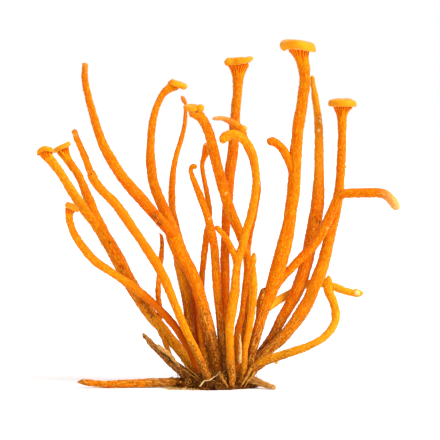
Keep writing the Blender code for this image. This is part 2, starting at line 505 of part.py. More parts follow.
                  (50.8, 52.6, -4.2, 1.9), (50.9, 51.6, -4.2, 1.7)],
    },
    "right_drooping_branch": {
        "finish": "bright_skin", "forks_from": ["tallest_capped_stroma"],
        "route": [(12.6, 21.8, -1.3, 1.8), (13.4, 22.8, 0.2, 1.9), (14.6, 23.8, 1.7, 2.0), (16.2, 25.0, 4.0, 2.1),
                  (18.3, 26.3, 6.4, 2.1), (20.5, 27.7, 7.7, 2.0), (22.6, 28.9, 8.1, 2.1),
                  (24.8, 29.9, 8.0, 2.2), (27.5, 30.5, 7.4, 2.3), (30.0, 30.2, 6.6, 2.3),
                  (32.2, 29.5, 5.9, 2.3), (34.2, 28.8, 5.4, 2.2), (36.2, 28.1, 5.0, 2.0),
                  (38.0, 27.65, 4.7, 1.9), (39.2, 27.55, 4.5, 2.2), (40.3, 27.5, 4.3, 1.9),
                  (41.3, 27.5, 4.2, 1.5)],
    },
    "right_plain_stroma": {
        "finish": "red_skin",
        "route": [(6.0, 3.2, 3.6, 1.8), (8.0, 5.2, 4.9, 1.9), (10.3, 8.2, 4.9, 2.0),
                  (12.2, 11.0, 4.5, 2.1), (14.0, 13.5, 4.2, 2.3), (15.7, 16.0, 4.1, 2.5),
                  (17.2, 18.8, 4.0, 2.8), (18.6, 21.3, 4.0, 2.9), (20.1, 24.0, 4.0, 3.0),
                  (21.6, 26.8, 4.1, 3.3), (22.9, 29.6, 4.3, 3.6), (23.9, 32.4, 4.5, 3.7),
                  (24.9, 36.0, 4.8, 3.6), (25.8, 40.0, 5.2, 3.5), (26.6, 44.0, 5.6, 3.6),
                  (27.4, 48.0, 6.0, 3.8), (28.0, 52.0, 6.4, 3.7), (28.35, 56.0, 6.8, 3.4),
                  (28.5, 60.0, 7.2, 2.8), (28.6, 64.0, 7.7, 2.6), (28.65, 68.0, 8.2, 2.5),
                  (28.65, 72.0, 8.7, 2.4), (28.5, 76.0, 9.2, 2.2), (28.05, 80.0, 9.8, 1.9),
                  (27.4, 84.0, 10.4, 1.8), (26.9, 87.0, 10.9, 1.4), (26.6, 89.7, 11.2, 1.2)],
    },
    "right_capped_stroma": {
        "finish": "orange_skin",
        "route": [(7.0, 2.0, 2.2, 2.1), (9.3, 6.0, 2.0, 2.4), (10.9, 8.0, 1.7, 2.6),
                  (12.8, 10.0, 1.4, 2.7), (15.0, 12.0, 1.3, 2.8), (17.2, 14.0, 1.3, 3.0),
                  (19.0, 16.0, 1.3, 3.1), (20.6, 18.0, 1.3, 3.2), (22.2, 20.0, 1.4, 3.4),
                  (23.8, 22.3, 1.6, 3.5), (25.1, 24.5, 1.8, 3.4), (26.2, 26.7, 2.0, 3.4),
                  (27.3, 29.3, 2.3, 3.5), (28.5, 32.0, 2.6, 3.6), (29.4, 34.5, 2.8, 3.5),
                  (30.2, 37.3, 3.1, 3.4), (30.9, 40.2, 3.4, 3.2), (31.6, 43.4, 3.7, 3.0),
                  (32.4, 46.7, 4.0, 2.9), (33.2, 50.0, 4.2, 2.9), (33.8, 53.5, 4.4, 3.0),
                  (34.4, 57.5, 4.6, 2.8), (34.75, 61.5, 4.9, 2.5), (35.0, 66.0, 5.3, 2.4),
                  (35.1, 70.0, 5.7, 2.2), (35.1, 74.0, 6.1, 2.2), (35.1, 77.0, 6.3, 2.5),
                  (35.15, 79.0, 6.5, 3.2), (35.3, 80.5, 6.6, 4.4)],
        "cap": {"middle": (35.4, 82.1, 6.7), "half_width": 4.05, "thick": 2.0,
                "lean": (0.03, -0.06)},
    },
    "right_curved_stroma": {
        "finish": "bright_skin",
        "route": [(7.4, 2.2, -2.6, 1.8), (9.9, 6.2, -3.6, 2.2), (11.8, 7.7, -3.9, 2.3),
                  (13.8, 8.7, -4.1, 2.2), (16.2, 9.4, -4.3, 2.1), (19.0, 10.3, -4.6, 2.1),
                  (22.0, 11.3, -4.9, 2.2), (25.0, 12.4, -5.1, 2.1), (27.6, 13.7, -5.1, 2.1),
                  (29.7, 15.0, -4.9, 2.1), (31.3, 16.5, -4.6, 2.1), (32.6, 18.2, -4.2, 2.1),
                  (33.35, 20.0, -3.8, 2.1), (33.45, 22.0, -3.4, 2.2), (33.0, 24.2, -3.0, 2.2),
                  (32.2, 26.1, -2.7, 2.3), (31.4, 27.8, -2.5, 2.5), (31.0, 29.6, -2.4, 2.5),
                  (31.2, 31.2, -2.4, 2.3), (31.45, 32.6, -2.4, 1.9)],
    },
    "broken_left_stub": {
        "finish": "brown_skin",
        "route": [(-7.6, 2.4, -1.8, 2.4), (-10.0, 4.9, -2.2, 2.5), (-12.0, 6.3, -2.3, 2.6),
                  (-14.0, 8.0, -2.4, 2.5), (-16.0, 9.9, -2.5, 2.4), (-18.0, 11.7, -2.6, 2.3),
                  (-20.0, 13.5, -2.7, 2.2), (-21.4, 14.9, -2.8, 1.7)],
    },
    "lower_left_strand": {
        "finish": "dark_skin", "forks_from": ["outer_left_trunk", "broken_left_stub"],
        "route": [(-12.2, 7.0, -1.9, 1.2), (-13.2, 9.4, -1.1, 1.3), (-14.3, 11.3, -0.8, 1.4),
                  (-15.3, 13.1, -0.5, 1.5), (-16.2, 15.0, 0.1, 1.5), (-16.8, 16.9, 1.0, 1.4)],
    },
}

# Rows (across, depth, lift, thickness): what lies on the ground beside the base.
LYING = {
    "fallen_stroma": {
        "finish": "orange_skin",
        "route": [(-8.0, -1.0, 0.1, 2.6), (-12.0, -1.4, 0.1, 2.6), (-16.0, -1.8, 0.1, 2.5),
                  (-20.0, -2.2, 0.1, 2.5), (-24.0, -2.6, 0.1, 2.2), (-28.0, -3.0, 0.1, 2.05),
                  (-32.0, -3.4, 0.1, 2.0), (-35.0, -3.7, 0.5, 1.8), (-38.0, -4.0, 0.9, 1.7),
                  (-40.7, -4.3, 1.3, 1.0)],
    },
    "ground_root": {
        "finish": "brown_skin",
        "route": [(6.5, -3.4, 0.3, 1.8), (9.0, -3.9, 0.3, 1.8), (11.0, -4.3, 0.3, 1.7),
                  (13.0, -4.7, 0.2, 1.5), (15.0, -5.3, 0.1, 1.2), (16.3, -5.8, 0.1, 0.9)],
    },
}


def stroma(name, spec, rings, base_cutter):
    """One stroma: its tube with its cap and knobs, cut clear of what it grows from."""
    piece = tube(name, rings[name], parts)
    extras = [knob(*row) for row in spec.get("knobs", [])]
    if "cap" in spec:
        extras.append(cap(spec["cap"], spec["route"][-1][3]))
    for extra in extras:
        changed(piece, "BOOLEAN", operation="UNION", solver="EXACT", object=extra)
        bpy.data.objects.remove(extra)
    carriers = [as_cutter(tube(name + "_fork", rings[carrier], cutters, GAP))
                for carrier in spec.get("forks_from", [])]
    for carrier in carriers + [base_cutter]:
        changed(piece, "BOOLEAN", operation="DIFFERENCE", solver="EXACT", object=carrier)
    finished(piece, spec["finish"])


def build():
    base = mound("matted_base", parts)
    finished(base, "matted_base")
    base_cutter = as_cutter(mound("base_clearance", cutters, GAP))
    rings = {name: rings_of(seen_rows(spec["route"]), rounded="cap" not in spec)
             for name, spec in STROMATA.items()}
    rings.update({name: rings_of(ground_rows(spec["route"])) for name, spec in LYING.items()})
    for name, spec in {**STROMATA, **LYING}.items():
        stroma(name, spec, rings, base_cutter)


for old in list(bpy.data.objects):
    bpy.data.objects.remove(old)

parts = bpy.data.collections.new("cordyceps_bunch")
cutters = bpy.data.collections.new("clearances")
for collection in (parts, cutters):
    bpy.context.scene.collection.children.link(collection)

build()
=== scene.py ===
# Looks of the cordyceps bunch.  Each stroma is grown as one closed skin along the route of its
# solid; the base is a mat of crumbs, roots and threads.  Lengths here are millimetres until a
# piece is made.
import math
from functools import partial
from itertools import product

import bpy
import numpy as np
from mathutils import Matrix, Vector, noise


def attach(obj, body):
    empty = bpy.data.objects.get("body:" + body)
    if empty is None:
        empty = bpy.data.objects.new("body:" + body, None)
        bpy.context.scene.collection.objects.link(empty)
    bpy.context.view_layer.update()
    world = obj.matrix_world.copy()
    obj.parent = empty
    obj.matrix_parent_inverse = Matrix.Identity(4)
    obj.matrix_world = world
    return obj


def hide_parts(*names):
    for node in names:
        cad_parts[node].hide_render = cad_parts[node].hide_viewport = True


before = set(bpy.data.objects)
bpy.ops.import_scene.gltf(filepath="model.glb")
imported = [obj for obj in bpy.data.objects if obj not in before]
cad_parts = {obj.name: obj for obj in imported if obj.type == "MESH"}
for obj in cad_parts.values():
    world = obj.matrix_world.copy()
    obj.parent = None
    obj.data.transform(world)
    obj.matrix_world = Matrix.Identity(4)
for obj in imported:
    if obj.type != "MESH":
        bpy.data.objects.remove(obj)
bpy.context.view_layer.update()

mm = 0.001

# Where the bunch is seen from, and how its fan opens out in depth.
eye = {
    "distance": 600.0,
    "rise": math.radians(2.5),
    "aimHeight": 47.8,
    "seenMiddle": (0.29, 48.43),
    "bunchMiddle": (-0.18, -2.96),
    "frameWidth": 125.72,           # what the picture spans at the bunch
    "opening": 0.8,                 # share by which depths grow towards the top
    "openingFoot": 15.0,
    "openingTop": 80.0,
}

# How fine the skins are meshed.
meshing = {
    "alongStep": 0.25,
    "aroundStep": 0.25,
    "capStep": 0.20,
    "fewestSides": 16,
    "mostSides": 54,
    "capSides": 4,                  # sides in a cap for each one in its stem
    "tipRings": 11,
    "tipEnd": 0.03,                 # radius that a rounded tip closes at
    "knobRings": 16,
    "knobSides": 26,
    "spanSteps": 16,                # points between two rows of a route, before they are evened
}


def smoothStep(low, high, value):
    share = np.clip((value - low) / (high - low), 0.0, 1.0)
    return share * share * (3.0 - 2.0 * share)


def unit(vectors):
    return vectors / np.maximum(np.linalg.norm(vectors, axis=-1, keepdims=True), 1e-9)


def opened(depth, up):
    spread = smoothStep(eye["openingFoot"], eye["openingTop"], up)
    return depth * (1.0 + eye["opening"] * spread)


def sightShare(up, depth):
    level = eye["distance"] * math.cos(eye["rise"])
    climb = (up - eye["seenMiddle"][1]) * math.sin(eye["rise"])
    return (level + opened(depth, up)) / (level + climb)


# The real place of a point that is seen at (across, up) and lies at a depth.
def seenPlace(across, up, depth):
    across, up, depth = (np.asarray(value, dtype=float) for value in (across, up, depth))
    share = sightShare(up, depth)
    eyeHeight = eye["distance"] * math.sin(eye["rise"])
    drop = (up - eye["seenMiddle"][1]) * math.cos(eye["rise"]) - eyeHeight
    middle = eye["seenMiddle"][0]
    return np.stack([middle + (across - middle) * share - eye["bunchMiddle"][0],
                     opened(depth, up) - eye["bunchMiddle"][1],
                     eye["aimHeight"] + eyeHeight + drop * share], axis=-1)


# The place of a point on the ground beside the base.
def groundPlace(across, depth, height):
    return np.array((across - eye["bunchMiddle"][0], depth - eye["bunchMiddle"][1], height))


# Steady numbers from 0 to 1 for whole-number places.
def scrambled(x, y, z, seed):
    mask = 0xffffffff
    mixed = (x * 73856093) ^ (y * 19349663) ^ (z * 83492791) ^ (seed * 40503 + 977)
    mixed = mixed & mask
    for _ in range(2):
        mixed = ((mixed ^ (mixed >> 16)) * 0x45d9f3b) & mask
    return (mixed ^ (mixed >> 16)) / mask


# Smooth noise from 0 to 1 with lumps about one unit wide.
def cloud(points, seed):
    cell = np.floor(points).astype(np.int64)
    part = points - cell
    part = part * part * (3.0 - 2.0 * part)
    total = 0.0
    for corner in product((0, 1), repeat=3):
        a, b, c = (part[..., axis] if far else 1 - part[..., axis]
                   for axis, far in enumerate(corner))
        x, y, z = (cell[..., axis] + far for axis, far in enumerate(corner))
        total = total + a * b * c * scrambled(x, y, z, seed)
    return total


# Round bumps from 0 to 1, strewn at a pitch; width is at most half the pitch.
def bumps(points, pitch, width, seed):
    scaled = points / pitch
    cell = np.round(scaled).astype(np.int64) - 1
    highest = np.zeros(points.shape[:-1])
    for corner in product((0, 1), repeat=3):
        x, y, z = (cell[..., axis] + far for axis, far in enumerate(corner))
        middle = np.stack([x + scrambled(x, y, z, seed), y + scrambled(x, y, z, seed + 1),
                           z + scrambled(x, y, z, seed + 2)], axis=-1)
        far = np.linalg.norm(scaled - middle, axis=-1) / (width / pitch)
        highest = np.maximum(highest, 1.0 - far * far)
    return np.clip(highest, 0.0, 1.0)


# Places for noise that changes only lengthwise.
def lengthPlaces(along, size, aside=0.0):
    return np.stack([along / size, along * 0 + aside, along * 0], axis=-1)


# A smooth line through rows of numbers, at even lengths along their first three.
def evenLine(rows, step):
    rows = np.asarray(rows, dtype=float)
    padded = np.vstack([rows[:1], rows, rows[-1:]])
    share = np.linspace(0.0, 1.0, meshing["spanSteps"], endpoint=False)[:, None]
    pieces = []
    for a, b, c, d in zip(padded, padded[1:], padded[2:], padded[3:]):
        pieces.append(0.5 * (2 * b + (c - a) * share + (2 * a - 5 * b + 4 * c - d) * share ** 2
                             + (3 * b - a - 3 * c + d) * share ** 3))
    line = np.vstack(pieces + [rows[-1:]])
    hops = np.linalg.norm(np.diff(line[:, :3], axis=0), axis=1)
    lengths = np.concatenate([[0.0], np.cumsum(hops)])
    count = max(4, int(round(lengths[-1] / step)))
    wanted = np.linspace(0.0, lengths[-1], count + 1)
    return np.stack([np.interp(wanted, lengths, column) for column in line.T], axis=1), wanted


# Two directions square to the line at each of its points, turned as little as possible.
def turnless(tangents):
    side = np.array((0.0, -1.0, 0.0))
    if abs(side @ tangents[0]) > 0.95:
        side = np.array((0.0, 0.0, 1.0))
    sides = np.empty_like(tangents)
    for row, way in enumerate(tangents):
        side = side - (side @ way) * way
        side = side / np.linalg.norm(side)
        sides[row] = side
    return sides, np.cross(tangents, sides)


def bearings(sides):
    return np.arange(sides) * 2 * math.pi / sides


# Outward directions round each point of a line.
def ringWays(side, other, sides):
    turn = bearings(sides)
    return side[:, None] * np.cos(turn)[None, :, None] + other[:, None] * np.sin(turn)[None, :, None]


# Outward directions of a ball, ring by ring from its foot to its top.
def ballWays(rings, sides):
    rise = np.linspace(-math.pi / 2, math.pi / 2, rings + 2)[1:-1, None]
    turn = bearings(sides)
    return np.stack([np.cos(rise) * np.cos(turn), np.cos(rise) * np.sin(turn),
                     np.sin(rise) * np.ones(sides)], axis=-1)


# Outward directions of a grid of rings.
def gridNormals(points):
    along = np.gradient(points, axis=0)
    around = np.roll(points, -1, axis=1) - np.roll(points, 1, axis=1)
    return unit(np.cross(around, along))


# Quads between the rings of a grid.
def gridFaces(rings, sides):
    ring = np.arange(rings - 1)[:, None] * sides
    here = np.arange(sides)[None, :]
    ahead = (here + 1) % sides
    corners = (ring + here, ring + ahead, ring + sides + ahead, ring + sides + here)
    return np.stack(corners, axis=-1).reshape(-1, 4)


# Triangles between a ring and one point; inward turns them over.
def poleFaces(ringStart, sides, pole, inward=False):
    here = ringStart + np.arange(sides)
    ahead = ringStart + (np.arange(sides) + 1) % sides
    tip = np.full(sides, pole)
    order = (ahead, here, tip) if inward else (here, ahead, tip)
    return np.stack(order, axis=-1)


# A grid of rings closed by one point at each end; both points come after the grid's own.
def closedFaces(rings, sides):
    count = rings * sides
    return [gridFaces(rings, sides), poleFaces(0, sides, count, True),
            poleFaces(count - sides, sides, count + 1)]


# Triangles from one ring to the next, which has a whole number of times as many sides.
def bridgeFaces(lowStart, sides, highStart, times):
    here = np.arange(sides)
    low, lowAhead = lowStart + here, lowStart + (here + 1) % sides
    high = [highStart + (times * here + number) % (times * sides) for number in range(times + 1)]
    faces = [np.stack([low if number < times // 2 else lowAhead, high[number + 1], high[number]],
                      axis=-1) for number in range(times)]
    return faces + [np.stack([low, lowAhead, high[times // 2]], axis=-1)]


# Shells are gathered as points, faces and marks, and then made into one piece.
def joined(shells):
    marks = {key: [] for shell in shells for key in shell["marks"]}
    points, faces, start = [], [], 0
    for shell in shells:
        count = len(shell["points"])
        points.append(shell["points"])
        faces += [face + start for face in shell["faces"]]
        for key in marks:
            marks[key].append(shell["marks"].get(key, np.zeros(count)))
        start += count
    return {"points": np.vstack(points), "faces": faces,
            "marks": {key: np.concatenate(values) for key, values in marks.items()}}


def makePiece(name, shell, material, stands=None):
    points, faces = shell["points"], shell["faces"]
    mesh = bpy.data.meshes.new(name)
    corners = np.concatenate([face.reshape(-1) for face in faces])
    sizes = np.concatenate([np.full(len(face), face.shape[1]) for face in faces])
    mesh.vertices.add(len(points))
    mesh.vertices.foreach_set("co", (points * mm).astype(np.float32).reshape(-1))
    mesh.loops.add(len(corners))
    mesh.loops.foreach_set("vertex_index", corners.astype(np.int32))
    mesh.polygons.add(len(sizes))
    starts = np.concatenate([[0], np.cumsum(sizes)[:-1]])
    mesh.polygons.foreach_set("loop_start", starts.astype(np.int32))
    mesh.update(calc_edges=True)
    mesh.validate()
    mesh.shade_smooth()
    for key, values in shell["marks"].items():
        kept = mesh.attributes.new(key, "FLOAT", "POINT")
        kept.data.foreach_set("value", values.astype(np.float32))
    mesh.materials.append(material)
    piece = bpy.data.objects.new(name, mesh)
    bpy.context.scene.collection.objects.link(piece)
    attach(piece, "root")
    if stands:
        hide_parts(stands)
    print("  ", name, int((sizes - 2).sum()), "triangles")


# Colours of the five skins: the main colour, the redder one between its grains (partly the skin's own,
# partly painted shade in those hollows), its light grains, its dark flecks, and the tan and the brown
# that its foot is grained with.
skinColours = {
    "orange_skin": {"flesh": (0.750, 0.254, 0.002), "deep": (0.690, 0.102, 0.001),
                    "light": (0.795, 0.350, 0.009), "fleck": (0.400, 0.066, 0.002),
                    "tan": (0.730, 0.285, 0.015), "brown": (0.320, 0.062, 0.003)},
    "bright_skin": {"flesh": (0.770, 0.292, 0.003), "deep": (0.725, 0.160, 0.002),
                    "light": (0.810, 0.410, 0.014), "fleck": (0.520, 0.110, 0.003),
                    "tan": (0.760, 0.310, 0.016), "brown": (0.390, 0.086, 0.004)},
    "red_skin": {"flesh": (0.735, 0.230, 0.002), "deep": (0.650, 0.092, 0.001),
                 "light": (0.790, 0.350, 0.013), "fleck": (0.310, 0.044, 0.002),
                 "tan": (0.660, 0.220, 0.013), "brown": (0.270, 0.050, 0.003)},
    "dark_skin": {"flesh": (0.560, 0.100, 0.002), "deep": (0.250, 0.030, 0.001),
                  "light": (0.950, 0.360, 0.012), "fleck": (0.070, 0.011, 0.001),
                  "tan": (0.520, 0.130, 0.007), "brown": (0.180, 0.032, 0.003)},
    "brown_skin": {"flesh": (0.520, 0.200, 0.034), "deep": (0.300, 0.092, 0.012),
                   "light": (0.660, 0.340, 0.090), "fleck": (0.080, 0.024, 0.004),
                   "tan": (0.520, 0.200, 0.032), "brown": (0.200, 0.058, 0.009)},
}

# What all skins share; sizes in mm, heights of the relief in metres.
skinFinish = {
    "black": (0.055, 0.012, 0.003),
    "shade": (0.40, 0.24, 0.20),        # painted shade: what is left of each colour low on a foot, where the crowded stems shade each other
    "cap": (0.82, 0.310, 0.008),
    "capDeep": (0.78, 0.245, 0.007),
    "reddened_and_shaded": (0.60, 0.085, 0.001),   # smooth red flesh low on some stromata, on some of them painted shade
    "ridge": (0.85, 0.340, 0.005),
    "groove": (0.76, 0.072, 0.001),     # between the ridges under a cap
    "pale": (0.88, 0.610, 0.220),
    "straw": (0.85, 0.470, 0.110),      # light fibres of a foot
    "dark": (0.10, 0.030, 0.010),
    "scar": (0.270, 0.042, 0.004),
    "patchSize": 4.5,
    "strewnSize": 2.6,                  # areas with more and with fewer flecks
    "mottleSize": 0.48,
    "fineSize": 0.26,
    "cellSize": 0.38,
    "fleckSize": 1.00,
    "dustSize": 1.5,
    "fibreSize": 0.27,
    "fibreStretch": 5.0,
    "fibrous": 0.65,                    # how much the fibres show above the foot
    "roughness": (0.50, 0.70),
    "capRoughness": 0.36,
    "gloss": 0.10,
    "glossTint": (1.0, 0.55, 0.05, 1.0),
    "fuzz": 0.11,
    "fuzzRoughness": 0.35,
    "fuzzTint": (1.0, 0.60, 0.05, 1.0),
    "softness": 0.08,
    "softReach": (1.0, 0.32, 0.08),
    "softScale": 0.0004,
    "cellHeight": 0.00012,
    "fineHeight": 0.00006,
    "fibreHeight": 0.00015,
}


def addNode(tree, kind, values=None, **settings):
    made = tree.nodes.new(kind)
    for key, value in settings.items():
        setattr(made, key, value)
    for key, value in (values or {}).items():
        if isinstance(value, bpy.types.NodeSocket):
            tree.links.new(value, made.inputs[key])
        else:
            made.inputs[key].default_value = value
    return made


def blend(tree, share, under, over, way="MIX"):
    under, over = (value if isinstance(value, bpy.types.NodeSocket) else (*value, 1.0)
                   for value in (under, over))
    return addNode(tree, "ShaderNodeMix", {0: share, 6: under, 7: over}, data_type="RGBA",
                   blend_type=way).outputs[2]


# Colours laid over a first one: rows (share, name of the colour).
def layered(tree, colours, colour, layers):
    for share, key in layers:
        colour = blend(tree, share, colour, colours[key])
    return colour


def reckon(tree, way, one, other):
    return addNode(tree, "ShaderNodeMath", {0: one, 1: other}, operation=way).outputs[0]


# A value taken from one range to another, eased at both ends.
def eased(tree, value, low, high, start=0.0, end=1.0):
    values = {"Value": value, "From Min": low, "From Max": high, "To Min": start, "To Max": end}
    return addNode(tree, "ShaderNodeMapRange", values, interpolation_type="SMOOTHSTEP").outputs[0]


def mark(tree, key):
    return addNode(tree, "ShaderNodeAttribute", attribute_name=key).outputs["Fac"]


def grainNoise(tree, place, size, detail=2.0, rough=0.55):
    values = {"Vector": place, "Scale": 1.0 / (size * mm), "Detail": detail, "Roughness": rough}
    return addNode(tree, "ShaderNodeTexNoise", values).outputs["Fac"]


def cellNoise(tree, place, size):
    values = {"Vector": place, "Scale": 1.0 / (size * mm)}
    return addNode(tree, "ShaderNodeTexVoronoi", values).outputs["Distance"]


# Bumps of a height in metres, over the bumps made before.
def relief(tree, height, distance, strength, before=None, **settings):
    values = {"Height": height, "Distance": distance, "Strength": strength}
    if before:
        values["Normal"] = before
    return addNode(tree, "ShaderNodeBump", values, **settings).outputs["Normal"]


# A number between two others, by a share.
def weighed(tree, share, low, high):
    return addNode(tree, "ShaderNodeMix", {0: share, 2: low, 3: high}).outputs[0]


def newMaterial(name, values):
    material = bpy.data.materials.new(name)
    material.use_nodes = True
    tree = material.node_tree
    shader = tree.nodes["Principled BSDF"]
    for key, value in values.items():
        shader.inputs[key].default_value = value
    return material, tree


def wireShader(tree, sockets):
    shader = tree.nodes["Principled BSDF"]
    for key, socket in sockets.items():
        tree.links.new(socket, shader.inputs[key])


# Every skin is dull, with a warm tint in what little it reflects.
dull = {"Specular IOR Level": skinFinish["gloss"], "Specular Tint": skinFinish["glossTint"]}


# The marks of a stroma that its skin is coloured by.
skinMarks = ("brown", "streak", "grain", "pit", "calm", "golden", "deepened", "redness", "shade",
             "rim", "ridge", "groove", "pale", "scar", "dark", "aside", "facing", "lengthwise")


# The marks, noises, cells and fibres that a skin is mixed from.
def skinSources(tree):
    finish, ease, times = skinFinish, partial(eased, tree), partial(reckon, tree, "MULTIPLY")
    place = addNode(tree, "ShaderNodeTexCoord").outputs["Object"]
    made = {key: mark(tree, key) for key in skinMarks}
    made["patches"] = grainNoise(tree, place, finish["patchSize"], 3.0)
    made["mottle"] = grainNoise(tree, place, finish["mottleSize"], 2.5, 0.6)
    made["fine"] = grainNoise(tree, place, finish["fineSize"])
    made["strewn"] = ease(grainNoise(tree, place, finish["strewnSize"], 1.0), 0.38, 0.62)
    for key, size in (("cells", "cellSize"), ("specks", "fleckSize"), ("dust", "dustSize")):
        made[key] = cellNoise(tree, place, finish[size])

    # fibres run lengthwise: thin around the stem, drawn out along it; their marks are in mm
    around = {0: made["aside"], 1: made["facing"],
              2: reckon(tree, "DIVIDE", made["lengthwise"], finish["fibreStretch"])}
    unrolled = addNode(tree, "ShaderNodeCombineXYZ", around).outputs[0]
    made["fibres"] = grainNoise(tree, unrolled, finish["fibreSize"] / mm, 2.5, 0.6)
    made["fibrous"] = ease(made["brown"], 0.0, 0.7, finish["fibrous"], 1.0)
    made["lightFibres"] = times(ease(made["fibres"], 0.53, 0.65), made["fibrous"])
    made["darkFibres"] = times(ease(made["fibres"], 0.48, 0.36), made["fibrous"])
    return made


# Golden flesh, redder in soft patches, between its grains and in its wrinkles; the red in those hollows
# is partly painted shade, and the lighter tops of the grains partly painted light.
def fleshColour(tree, colours, made):
    ease, times = partial(eased, tree), partial(reckon, tree, "MULTIPLY")
    patches, fine, brown = made["patches"], made["fine"], made["brown"]
    flecked = times(made["strewn"], ease(brown, 0.0, 0.5, 0.35, 1.0))
    return layered(tree, colours, colours["flesh"], [
        (ease(patches, 0.32, 0.66, 0.30, 0.0), "deep"),
        # Partly painted shade: the deep colour between the grains and in the wrinkles, where the skin
        # is sunk; the raised grains are partly painted light.
        (times(ease(made["cells"], 0.30, 0.66), ease(patches, 0.35, 0.65, 1.0, 0.6)), "deep"),
        (ease(fine, 0.34, 0.50, 0.85, 0.0), "deep"),
        (ease(made["streak"], 0.45, 1.0, 0.0, 0.45), "deep"),
        (ease(made["grain"], 0.2, 0.9, 0.0, 0.3), "light"),
        (made["darkFibres"], "deep"),
        (made["lightFibres"], "light"),
        (times(ease(made["specks"], 0.14, 0.30, 0.85, 0.0), flecked), "fleck"),
        (times(ease(fine, 0.56, 0.70, 0.0, 0.70), ease(made["strewn"], 0.2, 0.8, 1.0, 0.4)), "light"),
        (times(made["pit"], ease(brown, 0.0, 0.5, 0.30, 1.0)), "fleck"),
        (ease(made["calm"], 0.0, 1.0, 0.0, 0.8), "flesh"),
        (made["golden"], "light"),
        (made["deepened"], "deep")])


# The foot, grained with tan and brown, its wrinkles nearly black; the dark in its wrinkles and between
# its grains is partly painted shade.
def footColour(tree, colours, made):
    ease, times = partial(eased, tree), partial(reckon, tree, "MULTIPLY")
    return layered(tree, colours, colours["brown"], [
        (ease(made["mottle"], 0.38, 0.60), "tan"),
        # Partly painted shade: the hollows between the grains and the wrinkles are browner.
        (ease(made["cells"], 0.34, 0.66, 0.0, 0.7), "brown"),
        (ease(made["streak"], 0.5, 1.0, 0.0, 0.6), "brown"),
        (ease(made["specks"], 0.14, 0.28, 0.75, 0.0), "black"),
        (ease(made["fine"], 0.30, 0.44, 0.85, 0.0), "scar"),
        (ease(made["fine"], 0.56, 0.68, 0.0, 0.7), "light"),
        (made["darkFibres"], "brown"),
        (times(made["lightFibres"], 0.6), "straw")])


# Caps, ridges and single marks, over the colour of flesh and foot.
def capColour(tree, colours, made, colour):
    ease, times = partial(eased, tree), partial(reckon, tree, "MULTIPLY")
    rims = blend(tree, ease(made["patches"], 0.35, 0.65), colours["capDeep"], colours["cap"])
    colour = blend(tree, made["rim"], colour, rims)
    ragged = times(ease(made["fine"], 0.44, 0.60, 1.0, 0.5), ease(made["fibres"], 0.42, 0.60, 1.0, 0.4))
    dusted = times(ease(made["dust"], 0.06, 0.11, 0.5, 0.0), ease(made["calm"], 0.0, 0.5, 1.0, 0.0))
    return layered(tree, colours, colour, [
        (made["ridge"], "ridge"),
        (made["groove"], "groove"),
        (dusted, "pale"),
        (times(made["pale"], ease(made["mottle"], 0.25, 0.5, 0.65, 1.0)), "pale"),
        (times(made["scar"], ragged), "scar"),
        (made["dark"], "dark")])


# Cells, fine grains and fibres as bumps; a rim has only the fibres.
def skinBumps(tree, made):
    finish, rim = skinFinish, made["rim"]
    grains = relief(tree, weighed(tree, rim, made["cells"], 0.5), finish["cellHeight"], 0.7,
                    invert=True)
    finest = relief(tree, weighed(tree, rim, made["fine"], 0.5), finish["fineHeight"], 0.5, grains)
    ribbed = reckon(tree, "MULTIPLY", made["fibres"], made["fibrous"])
    return relief(tree, ribbed, finish["fibreHeight"], 0.6, finest)


def skinMaterial(name):
    finish = skinFinish
    colours = {**skinFinish, **skinColours[name]}
    material, tree = newMaterial(name + "_grown", {
        **dull, "Sheen Weight": finish["fuzz"], "Sheen Roughness": finish["fuzzRoughness"],
        "Sheen Tint": finish["fuzzTint"], "Subsurface Weight": finish["softness"],
        "Subsurface Radius": finish["softReach"], "Subsurface Scale": finish["softScale"]})
    ease = partial(eased, tree)
    made = skinSources(tree)
    mottle = made["mottle"]
    browned = reckon(tree, "ADD", made["brown"], ease(mottle, 0.3, 0.7, 0.25, -0.25))
    colour = blend(tree, ease(browned, 0.10, 0.90), fleshColour(tree, colours, made),
                   footColour(tree, colours, made))
    colour = blend(tree, made["redness"], colour, colours["reddened_and_shaded"])
    # Painted shade: the lower stems are multiplied darker and redder, as the crowded base shades them.
    paintedShadeShare = reckon(tree, "MULTIPLY", made["shade"], ease(mottle, 0.35, 0.62, 1.0, 0.5))
    colour = blend(tree, paintedShadeShare, colour, colours["shade"], "MULTIPLY")
    rough = weighed(tree, made["rim"], ease(mottle, 0.3, 0.7, *finish["roughness"]),
                    finish["capRoughness"])
    wireShader(tree, {"Base Color": capColour(tree, colours, made, colour), "Roughness": rough,
                      "Normal": skinBumps(tree, made)})
    return material


# The base: clods, roots and grains in browns from black to tan, by how they are marked.
matFinish = {
    "soil": (0.045, 0.011, 0.002), "clod": (0.170, 0.047, 0.008), "tan": (0.480, 0.190, 0.028),
    "black": (0.014, 0.004, 0.001), "orange": (0.620, 0.190, 0.010), "roughness": (0.72, 0.95),
    "largeSize": 2.4, "smallSize": 0.5, "fineSize": 0.2, "height": 0.00006,
}


